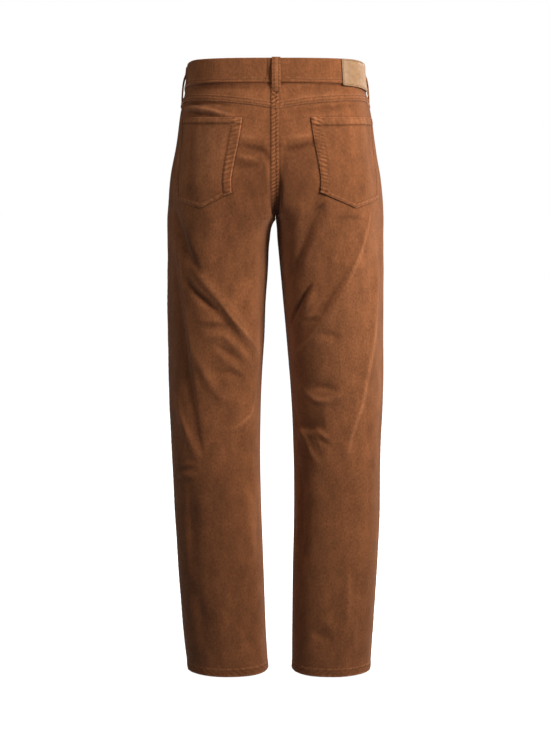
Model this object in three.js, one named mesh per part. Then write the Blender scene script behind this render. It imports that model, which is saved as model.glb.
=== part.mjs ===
// Straight-leg corduroy trousers, in the hollow form that they have when worn.
// Units are millimetres and +Z is up. The wearer faces +Y, so the wearer's right is +X.
// The origin is the middle of the waist opening, level with the top of the waistband at the centre back.
//
// Each half of the trousers is a skin with two coordinates. w is the distance round the body from the
// side seam, above zero on the back and below zero on the front, and z is the height. Above the crotch
// the skin is a half ring that stops at the centre plane, and below it is the closed ring of a leg.

import * as THREE from 'three';

// ---- Driving sizes ----
const CLOTH = 1.6; // corduroy wall
const SEAM_GAP = 0.3; // between pieces that are sewn together
const HALF_GAP = SEAM_GAP / 2;
const BAND_HEIGHT = 41;
const BAND_PROUD = 1.7; // the waistband's outer face, out from the cloth below it
const BAND_THICK = 3;
const CROTCH_Z = -269;
const CROTCH_SLOPE = { left: -0.85, right: -0.3 }; // how fast the legs part at the crotch, going up
const HEM_Z = -1094;
const HEM_TURN = 15; // depth of the turned-up hem
const HEM_THICK = 3;
const FRONT_DIP = 25; // how far the waist drops towards the centre front
const DIP_START_Y = -80; // the drop starts behind the side
const DIP_END_Z = -200;
const BAND_JOIN_COLUMN = 14; // column of the left back where the two waistband lengths meet
const LAP_RAISE = 3.6; // how far the left end of the waistband is lifted over the right end
const LAP_OVER = 18; // left end, past the centre front
const LAP_UNDER = 34; // right end, past the centre front and under the left end

const BACK_COLUMNS = 15;
const FRONT_COLUMNS = 12;
const FRONT_EVEN = 8; // front columns that keep even steps past the crotch
const POCKET_OUTER = 2; // columns of the back panel where the pocket starts, points down and ends
const POCKET_TIP = 6;
const POCKET_INNER = 10;
const ARC_SAMPLES = 160; // steps used to measure round a half ring

// ---- Short tables with named columns ----
const table = (names, rows) => rows.map((row) => Object.fromEntries(names.map((name, i) => [name, row[i]])));

// Body of the trousers, one row for each level down to the crotch. outer is half the width. peakBack and
// peakFront are how far from the centre the seat and the front stand out most. innerBack and innerFront say
// where the ring of each leg would end on the far side of the centre plane. square is how square the ring is
// from the side seam to its peak, where 2 is round, and innerSquare is how square it is from there inwards.
const BODY = table(
  'z outer peakBack peakFront innerBack innerFront back front mid square innerSquare'.split(' '),
  [
    [0, 151, 0, 0, -151, -151, -108, 104, 0, 2.9, 2.9],
    [-20, 153, 0, 0, -153, -153, -111, 106, 0, 2.8, 2.8],
    [-41, 156, 0, 0, -156, -156, -114, 108, 0, 2.7, 2.7],
    [-62, 161, 2, 0, -158, -160, -119, 110, -1, 2.6, 2.6],
    [-84, 166, 4, 1, -160, -164, -125, 112, -1, 2.45, 2.45],
    [-123, 171, 13, 4, -150, -164, -133, 115, -2, 2.3, 2.4],
    [-149, 175, 24, 9, -138, -160, -138, 117, -3, 2.25, 2.5],
    [-175, 180, 37, 18, -116, -150, -141, 118, -4, 2.2, 2.7],
    [-201, 184, 53, 32, -84, -126, -142, 117, -6, 2.2, 3.1],
    [-227, 187, 68, 50, -46, -78, -139, 113, -8, 2.15, 3.6],
    [-250, 189, 79, 67, -17, -28, -135, 107, -9, 2.1, 4],
    [CROTCH_Z, 190, 87, 80, HALF_GAP, HALF_GAP, -130, 101, -10, 2.1, 4.2],
  ],
);

// Legs, one row for each level from the crotch to the hem, with the left and right leg as they hang.
const LEGS = table(
  'z outerLeft innerLeft outerRight innerRight back front mid square innerSquare'.split(' '),
  [
    [CROTCH_Z, 190, HALF_GAP, 190, HALF_GAP, -130, 101, -10, 2.1, 4.2],
    [-306, 190, 11, 190, 4, -121, 94, -10, 2.1, 3.6],
    [-359, 191, 14, 191, 9, -111, 88, -10, 2.1, 3.1],
    [-412, 192, 18, 191, 14, -102, 84, -9, 2.1, 2.8],
    [-466, 192, 20, 192, 19, -93, 79, -7, 2.1, 2.6],
    [-575, 191, 26, 193, 28, -76, 69, -3, 2.1, 2.4],
    [-685, 188, 28, 190, 33, -68, 62, -2, 2.1, 2.3],
    [-796, 183, 26, 189, 34, -65, 56, -4, 2.1, 2.3],
    [-909, 177, 22, 185, 32, -61, 51, -5, 2.1, 2.3],
    [-1024, 170, 18, 179, 31, -57, 47, -4, 2.1, 2.3],
    [HEM_Z, 162, 14, 175, 31, -54, 46, -4, 2.1, 2.3],
  ],
);

// Rows of the panels' grids. side and centre are heights at the side seam and the centre seam, and the
// columns between are heights at the pocket's corners and tip. steps is the number of rows down to it, and
// a spread of 2 crowds the rows at the centre seam towards the end of their stretch.
const STATIONS = table(
  ['name', 'steps', 'spread', 'side', 'pocketOuter', 'pocketTip', 'pocketInner', 'centre'],
  [
    ['waist', 0, 1, -41.3, -41.3, -41.3, -41.3, -41.3],
    ['yoke', 2, 1, -67, -67, -69, -74, -84],
    ['pocketTop', 2, 1, -94, -95, -97, -99, -106],
    ['pocketBottom', 7, 1, -224, -232, -247, -221, -207],
    ['crotch', 4, 2, CROTCH_Z, CROTCH_Z, CROTCH_Z, CROTCH_Z, CROTCH_Z],
  ],
);

// Heights of the rows from the crotch to the hem, as stretches of even steps.
const LEG_STRETCHES = table(
  ['to', 'steps'],
  [
    [-305, 3],
    [-635, 13],
    [HEM_Z + HEM_TURN + 1, 11],
    [HEM_Z + HEM_TURN, 1],
    [HEM_Z, 1],
  ],
);

// Distances round the back, from the side seam, of the pockets' edges at their top and bottom corners.
const POCKET_EDGES = {
  left: { topOuter: 52, topInner: 186, bottomOuter: 84, bottomInner: 195 },
  right: { topOuter: 40, topInner: 183, bottomOuter: 68, bottomInner: 194 },
};
const POCKET_FADE_TOP_Z = -50; // the columns leave the pockets' lines above and below these
const POCKET_FADE_BOTTOM_Z = -335;

// The largest folds. x and z place the two ends as seen from the front or back, bow is how far the
// middle leans off the straight line, and a depth below zero is a trough.
const FOLDS = table(
  ['side', 'face', 'x1', 'z1', 'x2', 'z2', 'bow', 'width', 'depth'],
  [
    ['left', 'back', 150, -52, 14, -54, 0, 9, -3],
    ['left', 'back', 139, -112, 139, -243, 0, 9, -4],
    ['left', 'back', 168, -250, 126, -366, 5, 15, -6],
    ['left', 'back', 158, -364, 80, -456, 0, 12, -6],
    ['left', 'back', 150, -338, 64, -450, 0, 12, 5],
    ['left', 'back', 76, -432, 26, -504, 0, 12, 4],
    ['left', 'back', 122, -474, 42, -522, -6, 12, 4],
    ['left', 'back', 142, -490, 78, -588, 6, 13, 4],
    ['left', 'back', 164, -400, 130, -680, -5, 14, -6],
    ['left', 'back', 174, -570, 138, -690, -4, 12, 3],
    ['right', 'back', 14, -58, 112, -48, 0, 9, -3],
    ['right', 'back', 168, -238, 118, -378, 8, 13, 6],
    ['right', 'back', 178, -292, 136, -396, 8, 13, -5],
    ['right', 'back', 132, -340, 36, -464, 6, 11, -5],
    ['right', 'back', 120, -374, 42, -494, 4, 12, 5],
    ['right', 'back', 76, -232, 22, -362, 0, 11, -4],
    ['right', 'back', 181, -380, 148, -660, -6, 15, 4],
    ['right', 'back', 44, -562, 124, -574, 8, 10, 5],
    ['right', 'back', 34, -632, 90, -630, 0, 16, -6],
    ['left', 'front', 30, -246, 128, -206, 8, 13, -3],
    ['left', 'front', 34, -282, 150, -268, 8, 13, -3],
    ['left', 'front', 154, -330, 64, -402, 8, 15, 3],
    ['left', 'front', 60, -548, 150, -586, 8, 16, -4],
    ['left', 'front', 64, -600, 146, -636, 8, 16, 3],
    ['right', 'front', 30, -240, 122, -212, 6, 13, -3],
    ['right', 'front', 34, -276, 146, -272, 8, 13, -3],
    ['right', 'front', 150, -340, 70, -396, 8, 15, 3],
    ['right', 'front', 66, -560, 156, -580, 8, 16, -4],
    ['right', 'front', 70, -608, 150, -628, 8, 16, 3],
  ],
);
const FOLD_SEAM_FADE = 26; // folds die away this far from a centre seam or an inseam

const MATERIALS = {
  corduroy: { color: 0x7a4a2c, roughness: 0.9, metalness: 0 },
  leather: { color: 0xc89a70, roughness: 0.6, metalness: 0 },
  brass: { color: 0x9a7a48, roughness: 0.4, metalness: 0.9 },
};

// ---- Small helpers ----
const mix = (a, b, t) => a + (b - a) * t;
const smooth = (a, b, value) => THREE.MathUtils.smoothstep(value, a, b); // from 0 at a to 1 at b, above a
const signedPower = (value, power) => Math.sign(value) * Math.abs(value) ** power;
const range = (first, last) => Array.from({ length: last - first + 1 }, (_, i) => first + i);

// A smooth curve through a table's column, by Hermite pieces whose slopes come from the rows beside them.
// crotchSlope is the slope at the crotch's row, where one is asked for.
function columnCurve(rows, name, crotchSlope = null) {
  const slopes = rows.map((row, i) => {
    if (crotchSlope !== null && row.z === CROTCH_Z) return crotchSlope;
    const before = rows[Math.max(i - 1, 0)];
    const after = rows[Math.min(i + 1, rows.length - 1)];
    return (after[name] - before[name]) / (after.z - before.z);
  });
  return (z) => {
    const below = rows.findIndex((row) => row.z < z);
    const i = below < 0 ? rows.length - 2 : Math.max(below - 1, 0);
    const [a, b] = [rows[i], rows[i + 1]];
    const span = b.z - a.z;
    const t = THREE.MathUtils.clamp((z - a.z) / span, 0, 1);
    const rise = (3 - 2 * t) * t * t;
    const leave = t * (1 - t) * (1 - t) * span * slopes[i];
    const arrive = t * t * (t - 1) * span * slopes[i + 1];
    return a[name] * (1 - rise) + b[name] * rise + leave + arrive;
  };
}

// ---- The skin ----
const SIDES = { left: -1, right: 1 };

function sideCurves(side) {
  const suffix = side === 'left' ? 'Left' : 'Right';
  const legs = LEGS.map((row) => {
    const [outer, inner] = [row[`outer${suffix}`], row[`inner${suffix}`]];
    const peak = (outer + inner) / 2;
    return { ...row, outer, inner, peakBack: peak, peakFront: peak };
  });
  const whole = [...BODY, ...legs.slice(1)];
  const curves = {};
  for (const name of ['outer', 'peakBack', 'peakFront', 'back', 'front', 'mid', 'square', 'innerSquare']) {
    curves[name] = columnCurve(whole, name);
  }
  const legInner = columnCurve(legs, 'inner', CROTCH_SLOPE[side]);
  for (const name of ['innerBack', 'innerFront']) {
    const bodyInner = columnCurve(BODY, name, CROTCH_SLOPE[side]);
    curves[name] = (z) => (z > CROTCH_Z ? bodyInner(z) : legInner(z));
  }
  return curves;
}

const CURVES = { left: sideCurves('left'), right: sideCurves('right') };

// The ring of one half at a height: its peak, the reach and power on either side of that, and its depth.
function halfRing(side, face, z) {
  const curves = CURVES[side];
  const back = face === 'back';
  const inner = back ? curves.innerBack(z) : curves.innerFront(z);
  const peak = back ? curves.peakBack(z) : curves.peakFront(z);
  const mid = curves.mid(z);
  return {
    peak,
    outerReach: curves.outer(z) - peak,
    innerReach: peak - inner,
    depth: (back ? curves.back(z) : curves.front(z)) - mid,
    mid,
    outerPower: 2 / curves.square(z),
    innerPower: 2 / curves.innerSquare(z),
  };
}

// A point of the skin. angle runs from 0 at the side seam, by a right angle at the peak, to pi at the inseam.
function skinPoint(side, face, angle, z) {
  const ring = halfRing(side, face, z);
  const cosine = Math.cos(angle);
  const [reach, power] = cosine > 0 ? [ring.outerReach, ring.outerPower] : [ring.innerReach, ring.innerPower];
  const x = ring.peak + reach * signedPower(cosine, power);
  const y = ring.mid + ring.depth * signedPower(Math.sin(angle), power);
  const dip = FRONT_DIP * smooth(DIP_START_Y, 100, y) * smooth(DIP_END_Z, -BAND_HEIGHT, z);
  return new THREE.Vector3(x * SIDES[side], y, z - dip);
}

// The outward normal of the skin, from small steps in angle and height.
function skinNormal(side, face, angle, z) {
  const step = 0.01;
  const inside = THREE.MathUtils.clamp(angle, step, Math.PI - step);
  const around = skinPoint(side, face, inside + step, z).sub(skinPoint(side, face, inside - step, z));
  const up = skinPoint(side, face, inside, z + 1).sub(skinPoint(side, face, inside, z - 1));
  const normal = new THREE.Vector3().crossVectors(around, up).normalize();
  const ring = halfRing(side, face, z);
  const facing = Math.sign(ring.depth);
  const outwards = new THREE.Vector3(Math.cos(inside) * SIDES[side], Math.sin(inside) * facing, 0);
  if (normal.dot(outwards) < 0) normal.negate();
  if (angle < step || angle > Math.PI - step) normal.y = 0;
  return normal.normalize();
}

// Distances round one half ring at each of ARC_SAMPLES angles, from the side seam to its end. The end is
// the centre plane above the crotch and the inseam below it.
const arcCache = new Map();
function arcTable(side, face, z) {
  const key = `${side} ${face} ${z.toFixed(4)}`;
  if (arcCache.has(key)) return arcCache.get(key);
  const ring = halfRing(side, face, z);
  const cosine = THREE.MathUtils.clamp((HALF_GAP - ring.peak) / ring.innerReach, -1, 1);
  const end = z > CROTCH_Z ? Math.acos(signedPower(cosine, 1 / ring.innerPower)) : Math.PI;
  const angles = range(0, ARC_SAMPLES).map((i) => (end * i) / ARC_SAMPLES);
  const points = angles.map((angle) => skinPoint(side, face, angle, z));
  const arcs = [0];
  for (let i = 1; i <= ARC_SAMPLES; i += 1) arcs.push(arcs[i - 1] + points[i].distanceTo(points[i - 1]));
  const result = { angles, arcs, points, length: arcs[ARC_SAMPLES] };
  arcCache.set(key, result);
  return result;
}

function angleAt(side, face, distance, z) {
  const { angles, arcs } = arcTable(side, face, z);
  const i = THREE.MathUtils.clamp(arcs.findIndex((arc) => arc >= distance), 1, ARC_SAMPLES);
  const t = THREE.MathUtils.clamp((distance - arcs[i - 1]) / (arcs[i] - arcs[i - 1]), 0, 1);
  return mix(angles[i - 1], angles[i], t);
}

const lengthOf = (side, face, z) => arcTable(side, face, z).length;

// The distance round from the side seam to the place seen at x across and z up.
function distanceAcross(side, face, x, z) {
  const { points, arcs } = arcTable(side, face, z);
  const i = Math.max(1, points.findIndex((point) => Math.abs(point.x) <= x));
  const [a, b] = [Math.abs(points[i - 1].x), Math.abs(points[i].x)];
  return mix(arcs[i - 1], arcs[i], THREE.MathUtils.clamp((a - x) / (a - b), 0, 1));
}

// ---- Folds ----
const placedFolds = FOLDS.map((fold) => {
  const sign = fold.face === 'back' ? 1 : -1;
  return {
    ...fold,
    w1: sign * distanceAcross(fold.side, fold.face, fold.x1, fold.z1),
    w2: sign * distanceAcross(fold.side, fold.face, fold.x2, fold.z2),
  };
});

// How far the cloth stands out at (w, z): each fold is a bowed spindle, deepest at its middle.
function foldDepth(side, w, z) {
  const face = w >= 0 ? 'back' : 'front';
  const fade = smooth(0, FOLD_SEAM_FADE, lengthOf(side, face, z) - Math.abs(w));
  let depth = 0;
  for (const fold of placedFolds) {
    if (fold.side !== side) continue;
    const [alongW, alongZ] = [fold.w2 - fold.w1, fold.z2 - fold.z1];
    const long = Math.hypot(alongW, alongZ);
    const t = ((w - fold.w1) * alongW + (z - fold.z1) * alongZ) / (long * long);
    if (t <= 0 || t >= 1) continue;
    const across = ((w - fold.w1) * alongZ - (z - fold.z1) * alongW) / long - fold.bow * 4 * t * (1 - t);
    depth += fold.depth * Math.sqrt(4 * t * (1 - t)) * Math.exp(-((across / fold.width) ** 2));
  }
  return depth * fade;
}

// A point of the cloth's outer face with its normal. w is kept half a seam gap inside an inseam.
function clothPoint(side, w, z) {
  const face = w >= 0 ? 'back' : 'front';
  const limit = lengthOf(side, face, z) - (z > CROTCH_Z ? 0 : HALF_GAP);
  const distance = Math.min(Math.abs(w), limit);
  const angle = angleAt(side, face, distance, z);
  const normal = skinNormal(side, face, angle, z);
  const point = skinPoint(side, face, angle, z).addScaledVector(normal, foldDepth(side, w, z));
  return { point, normal, w, z };
}

const moved = (node, distance) => node.point.clone().addScaledVector(node.normal, distance);
const movedGrid = (grid, distance) => grid.map((row) => row.map((node) => moved(node, distance)));

// ---- Panel grids ----
// Every row of the grids above the crotch, as heights at the five named columns, then the legs' rows.
function gridRows() {
  const names = ['side', 'pocketOuter', 'pocketTip', 'pocketInner', 'centre'];
  const rows = [{ ...STATIONS[0], starts: 'waist' }];
  for (let s = 1; s < STATIONS.length; s += 1) {
    const [from, to] = [STATIONS[s - 1], STATIONS[s]];
    const spreads = { pocketInner: (1 + to.spread) / 2, centre: to.spread };
    for (const step of range(1, to.steps)) {
      const part = (name) => 1 - (1 - step / to.steps) ** (spreads[name] ?? 1);
      const row = Object.fromEntries(names.map((name) => [name, mix(from[name], to[name], part(name))]));
      rows.push({ ...row, starts: step === to.steps ? to.name : '' });
    }
  }
  let above = CROTCH_Z;
  for (const { to, steps } of LEG_STRETCHES) {
    for (const step of range(1, steps)) {
      const z = mix(above, to, step / steps);
      rows.push({ ...Object.fromEntries(names.map((name) => [name, z])), starts: '' });
    }
    above = to;
  }
  return rows;
}

const ROWS = gridRows();
const rowOf = (name) => ROWS.findIndex((row) => row.starts === name);

// Height of a row at a column of the back, straight between its named columns.
function backHeight(row, column) {
  const stops = [
    [0, row.side],
    [POCKET_OUTER, row.pocketOuter],
    [POCKET_TIP, row.pocketTip],
    [POCKET_INNER, row.pocketInner],
    [BACK_COLUMNS, row.centre],
  ];
  const i = Math.max(1, stops.findIndex(([stop]) => stop >= column));
  const [[c1, z1], [c2, z2]] = [stops[i - 1], stops[i]];
  return mix(z1, z2, (column - c1) / (c2 - c1));
}

// Distance round a face of one of its columns. Near the crotch the ring's end swings from the centre seam
// round to the inseam, so there the first columns keep steps that change slowly and the last ones stretch.
const SWING_TOP_Z = -150;
const SWING_BOTTOM_Z = -330;

function evenDistance(side, face, column, z) {
  const [columns, steady] = face === 'back' ? [BACK_COLUMNS, POCKET_INNER] : [FRONT_COLUMNS, FRONT_EVEN];
  const length = lengthOf(side, face, z);
  const ends = [SWING_TOP_Z, SWING_BOTTOM_Z].map((level) => lengthOf(side, face, level));
  const swinging = z < SWING_TOP_Z && z > SWING_BOTTOM_Z;
  const calm = swinging ? mix(ends[1], ends[0], smooth(SWING_BOTTOM_Z, SWING_TOP_Z, z)) : length;
  if (column <= steady) return (calm * column) / columns;
  return mix((calm * steady) / columns, length, (column - steady) / (columns - steady));
}

// Distance round the back of a column: even at the waist and the legs, and on the pocket's edges between.
function backDistance(side, column, z) {
  const length = lengthOf(side, 'back', z);
  const even = evenDistance(side, 'back', column, z);
  const edges = POCKET_EDGES[side];
  const top = STATIONS[2];
  const bottom = STATIONS[3];
  const t = THREE.MathUtils.clamp((z - top.pocketOuter) / (bottom.pocketOuter - top.pocketOuter), 0, 1);
  const outer = mix(edges.topOuter, edges.bottomOuter, t);
  const inner = mix(edges.topInner, edges.bottomInner, t);
  let shaped = mix(inner, length, (column - POCKET_INNER) / (BACK_COLUMNS - POCKET_INNER));
  if (column <= POCKET_OUTER) shaped = (outer * column) / POCKET_OUTER;
  else if (column <= POCKET_INNER) {
    shaped = mix(outer, inner, (column - POCKET_OUTER) / (POCKET_INNER - POCKET_OUTER));
  }
  const above = smooth(top.side, POCKET_FADE_TOP_Z, z);
  const below = 1 - smooth(POCKET_FADE_BOTTOM_Z, bottom.pocketTip, z);
  return mix(even, shaped, (1 - above) * (1 - below));
}

// The cloth's points for one panel. Its first and last rows stop half a seam gap short where asked.
function backGrid(side, firstRow, lastRow) {
  return range(firstRow, lastRow).map((r) => range(0, BACK_COLUMNS).map((column) => {
    let z = backHeight(ROWS[r], column);
    if (r === firstRow && firstRow > 0) z -= HALF_GAP;
    if (r === lastRow && lastRow < ROWS.length - 1) z += HALF_GAP;
    return clothPoint(side, Math.max(HALF_GAP, backDistance(side, column, z)), z);
  }));
}

function frontGrid(side) {
  return ROWS.map((row) => range(0, FRONT_COLUMNS).map((column) => {
    const s = column / FRONT_COLUMNS;
    const z = mix(row.side, row.centre, s * s);
    return clothPoint(side, -Math.max(HALF_GAP, evenDistance(side, 'front', column, z)), z);
  }));
}

// ---- Solids ----
// A closed wall between two grids of points that match row by row.
function wallGeometry(outer, inner) {
  const [rows, columns] = [outer.length, outer[0].length];
  const positions = [...outer.flat(), ...inner.flat()].flatMap((point) => point.toArray());
  const index = [];
  const outerAt = (r, c) => r * columns + c;
  const innerAt = (r, c) => rows * columns + r * columns + c;
  const quad = (a, b, c, d) => index.push(a, b, c, a, c, d);
  for (const r of range(0, rows - 2)) {
    for (const c of range(0, columns - 2)) {
      quad(outerAt(r, c), outerAt(r + 1, c), outerAt(r + 1, c + 1), outerAt(r, c + 1));
      quad(innerAt(r, c), innerAt(r, c + 1), innerAt(r + 1, c + 1), innerAt(r + 1, c));
    }
    quad(outerAt(r, 0), innerAt(r, 0), innerAt(r + 1, 0), outerAt(r + 1, 0));
    const end = columns - 1;
    quad(outerAt(r + 1, end), innerAt(r + 1, end), innerAt(r, end), outerAt(r, end));
  }
  for (const c of range(0, columns - 2)) {
    quad(outerAt(0, c + 1), innerAt(0, c + 1), innerAt(0, c), outerAt(0, c));
    quad(outerAt(rows - 1, c), innerAt(rows - 1, c), innerAt(rows - 1, c + 1), outerAt(rows - 1, c + 1));
  }
  const geometry = new THREE.BufferGeometry();
  geometry.setAttribute('position', new THREE.Float32BufferAttribute(positions, 3));
  geometry.setIndex(signedVolume(positions, index) < 0 ? index.reverse() : index);
  geometry.computeVertexNormals();
  return geometry;
}

function signedVolume(positions, index) {
  const corner = (i) => new THREE.Vector3().fromArray(positions, 3 * index[i]);
  let volume = 0;
  for (let i = 0; i < index.length; i += 3) volume += corner(i).dot(corner(i + 1).cross(corner(i + 2))) / 6;
  return volume;
}

const trousers = new THREE.Group();

function addPiece(name, geometry, material) {
  const mesh = new THREE.Mesh(geometry, new THREE.MeshStandardMaterial(MATERIALS[material]));
  mesh.name = name;
  trousers.add(mesh);
}

// A wall whose outer face is the grid moved out by proud, and whose thickness runs inwards.
function addCloth(name, grid, proud = 0, thickness = () => CLOTH, material = 'corduroy') {
  const outer = movedGrid(grid, proud);
  const inner = grid.map((row) => row.map((node) => moved(node, proud - thickness(node))));
  addPiece(name, wallGeometry(outer, inner), material);
}

// ---- Legs, yokes and pockets ----
const POCKET_THICK = 1.4;
const hemThickness = ({ z }) => (z <= HEM_Z + HEM_TURN + 0.01 ? HEM_THICK : CLOTH);

function addHalf(side) {
  const lastRow = ROWS.length - 1;
  const back = backGrid(side, rowOf('yoke'), lastRow);
  addCloth(`yoke_${side}`, backGrid(side, 0, rowOf('yoke')));
  addCloth(`back_${side}`, back, 0, hemThickness);
  addCloth(`front_${side}`, frontGrid(side), 0, hemThickness);
  const [pocketStart, pocketEnd] = ['pocketTop', 'pocketBottom'].map((name) => rowOf(name) - rowOf('yoke'));
  const pocketRows = back.slice(pocketStart, pocketEnd + 1);
  const pocket = pocketRows.map((row) => row.slice(POCKET_OUTER, POCKET_INNER + 1));
  addCloth(`pocket_${side}`, pocket, SEAM_GAP + POCKET_THICK, () => POCKET_THICK);
}

// ---- Waistband ----
const BAND_LEVELS = [0, -20, -BAND_HEIGHT];

const bandBackDistance = (side, column) => (z) => (lengthOf(side, 'back', z) * column) / BACK_COLUMNS;
const bandFrontDistance = (side, column) => (z) => (-lengthOf(side, 'front', z) * column) / FRONT_COLUMNS;
const fromCentreFront = (side, distance) => (z) => distance - lengthOf(side, 'front', z);

// A waistband length as stops round the waist: the side, a distance for each height, and a lift.
function bandGrid(stops) {
  return BAND_LEVELS.map((z) => stops.map(({ side, distance, lift = 0 }) => {
    const node = clothPoint(side, distance(z), z);
    return { ...node, point: moved(node, lift) };
  }));
}

function addWaistband() {
  const liftStart = FRONT_COLUMNS - 4;
  const left = [
    ...range(0, BAND_JOIN_COLUMN)
      .reverse()
      .map((c) => ({ side: 'left', distance: bandBackDistance('left', c) })),
    ...range(1, FRONT_COLUMNS).map((c) => ({
      side: 'left',
      distance: bandFrontDistance('left', c),
      lift: LAP_RAISE * smooth(liftStart, liftStart + 2, c),
    })),
    { side: 'right', distance: fromCentreFront('right', LAP_OVER), lift: LAP_RAISE },
  ];
  const joinStop = (z) => bandBackDistance('left', BAND_JOIN_COLUMN)(z) + SEAM_GAP;
  const right = [
    { side: 'left', distance: joinStop },
    ...range(0, BACK_COLUMNS)
      .reverse()
      .map((c) => ({ side: 'right', distance: bandBackDistance('right', c) })),
    ...range(1, FRONT_COLUMNS).map((c) => ({ side: 'right', distance: bandFrontDistance('right', c) })),
    { side: 'left', distance: fromCentreFront('left', LAP_UNDER / 2) },
    { side: 'left', distance: fromCentreFront('left', LAP_UNDER) },
  ];
  addCloth('waistband_left', bandGrid(left), BAND_PROUD, () => BAND_THICK);
  addCloth('waistband_right', bandGrid(right), BAND_PROUD, () => BAND_THICK);
}

// ---- Leather patch, wrapped round the right of the waistband and hanging a little below it ----
const PATCH = { firstColumn: 1, lastColumn: 7, thick: 1.6, topZ: -0.8, bottomSideZ: -51, bottomBackZ: -44.5 };

function addPatch() {
  const columns = range(PATCH.firstColumn, PATCH.lastColumn);
  const bottom = (c) => mix(PATCH.bottomSideZ, PATCH.bottomBackZ, (c - columns[0]) / (columns.length - 1));
  const levels = [() => PATCH.topZ, () => BAND_LEVELS[1], () => BAND_LEVELS[2], bottom];
  const grid = levels.map((level) => columns.map((c) => {
    const z = level(c);
    return clothPoint('right', bandBackDistance('right', c)(z), z);
  }));
  addCloth('patch_leather', grid, BAND_PROUD + SEAM_GAP + PATCH.thick, () => PATCH.thick, 'leather');
}

// ---- Belt loops ----
const LOOP_WIDTH = 14;
const LOOP_THICK = 2.2;
// Down one loop: how far it has gone from its top to its bottom, and its inner face out from the cloth.
const LOOP_PROFILE = table(
  ['down', 'out'],
  [
    [0, BAND_PROUD + SEAM_GAP],
    [0.12, BAND_PROUD + SEAM_GAP],
    [0.26, BAND_PROUD + 3.2],
    [0.45, BAND_PROUD + 3.6],
    [0.62, BAND_PROUD + 3.2],
    [0.8, BAND_PROUD + 1],
    [0.9, SEAM_GAP + 0.4],
    [1, SEAM_GAP + 0.2],
  ],
);

// place gives the cloth's point at a distance across the loop and a height.
function addLoop(name, place, bottomZ, lift = 0) {
  const topZ = 2;
  const grid = LOOP_PROFILE.map(({ down, out }) => [-1, 0, 1].map((across) => {
    const z = mix(topZ, bottomZ, down);
    const node = place((across * LOOP_WIDTH) / 2, Math.min(z, 0));
    const onBand = z > -BAND_HEIGHT ? lift : 0;
    const point = moved(node, out + onBand).setZ(moved(node, out + onBand).z + Math.max(z, 0));
    return { ...node, point };
  }));
  addCloth(name, grid, LOOP_THICK, () => LOOP_THICK);
}

function addLoops() {
  const sideLoopBottom = -68;
  const backLoopBottom = -56;
  const frontLoopDistance = -128; // from the side seam to the front loops
  const acrossCentreBack = (u, z) => {
    const side = u < 0 ? 'left' : 'right';
    return clothPoint(side, lengthOf(side, 'back', z) - Math.abs(u), z);
  };
  addLoop('loop_back', (u, z) => acrossCentreBack(u + 1, z), backLoopBottom);
  for (const side of Object.keys(SIDES)) {
    addLoop(`loop_side_${side}`, (u, z) => clothPoint(side, u, z), sideLoopBottom);
    addLoop(`loop_front_${side}`, (u, z) => clothPoint(side, frontLoopDistance + u, z), backLoopBottom);
  }
}

// ---- Fly shield and waist button ----
const SHIELD = { columns: 3, rightReach: 8, gap: 0.5, thick: 1.4 };

// The shield lies behind the opening: the left front's points moved in, and a strip past the centre.
function addFlyShield() {
  const lastRow = rowOf('pocketBottom') - 2;
  const left = frontGrid('left').slice(1, lastRow).map((row) => row.slice(-SHIELD.columns));
  const grid = left.map((row) => {
    const z = row[row.length - 1].z;
    return [...row, clothPoint('right', SHIELD.rightReach - lengthOf('right', 'front', z), z)];
  });
  addCloth('fly_shield', grid, -CLOTH - SHIELD.gap, () => SHIELD.thick);
}

const BUTTON = { radius: 8.5, rim: 1.6, thick: 3.2, dish: 0.9, offCentre: 5 };

function addButton() {
  const { radius, rim, thick, dish, offCentre } = BUTTON;
  const profile = [
    [0, 0],
    [radius - rim, 0],
    [radius, rim / 2],
    [radius, thick - rim / 2],
    [radius - rim / 2, thick],
    [radius - rim, thick],
    [radius - 1.6 * rim, thick - dish],
    [0, thick - dish],
  ].map(([r, h]) => new THREE.Vector2(r, h));
  const seat = clothPoint('right', offCentre - lengthOf('right', 'front', BAND_LEVELS[1]), BAND_LEVELS[1]);
  const place = moved(seat, BAND_PROUD + LAP_RAISE + 2 * SEAM_GAP);
  const geometry = new THREE.LatheGeometry(profile, 28);
  const upwards = new THREE.Vector3(0, 1, 0);
  geometry.applyQuaternion(new THREE.Quaternion().setFromUnitVectors(upwards, seat.normal));
  geometry.translate(place.x, place.y, place.z);
  addPiece('button_waist', geometry, 'brass');
}

addHalf('left');
addHalf('right');
addWaistband();
addPatch();
addLoops();
addFlyShield();
addButton();

export default trousers;
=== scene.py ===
"""Fine-wale corduroy trousers in their worn, hollow form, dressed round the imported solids.

The wearer faces +Y, the wearer's right is +X and +Z is up. Tables are in millimetres, as a tailor measures,
and meshes are in metres. Each half of the trousers is a skin with two coordinates: w is the distance round
the body from the side seam, above zero on the back and below zero on the front, and z is the height.
"""

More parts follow.
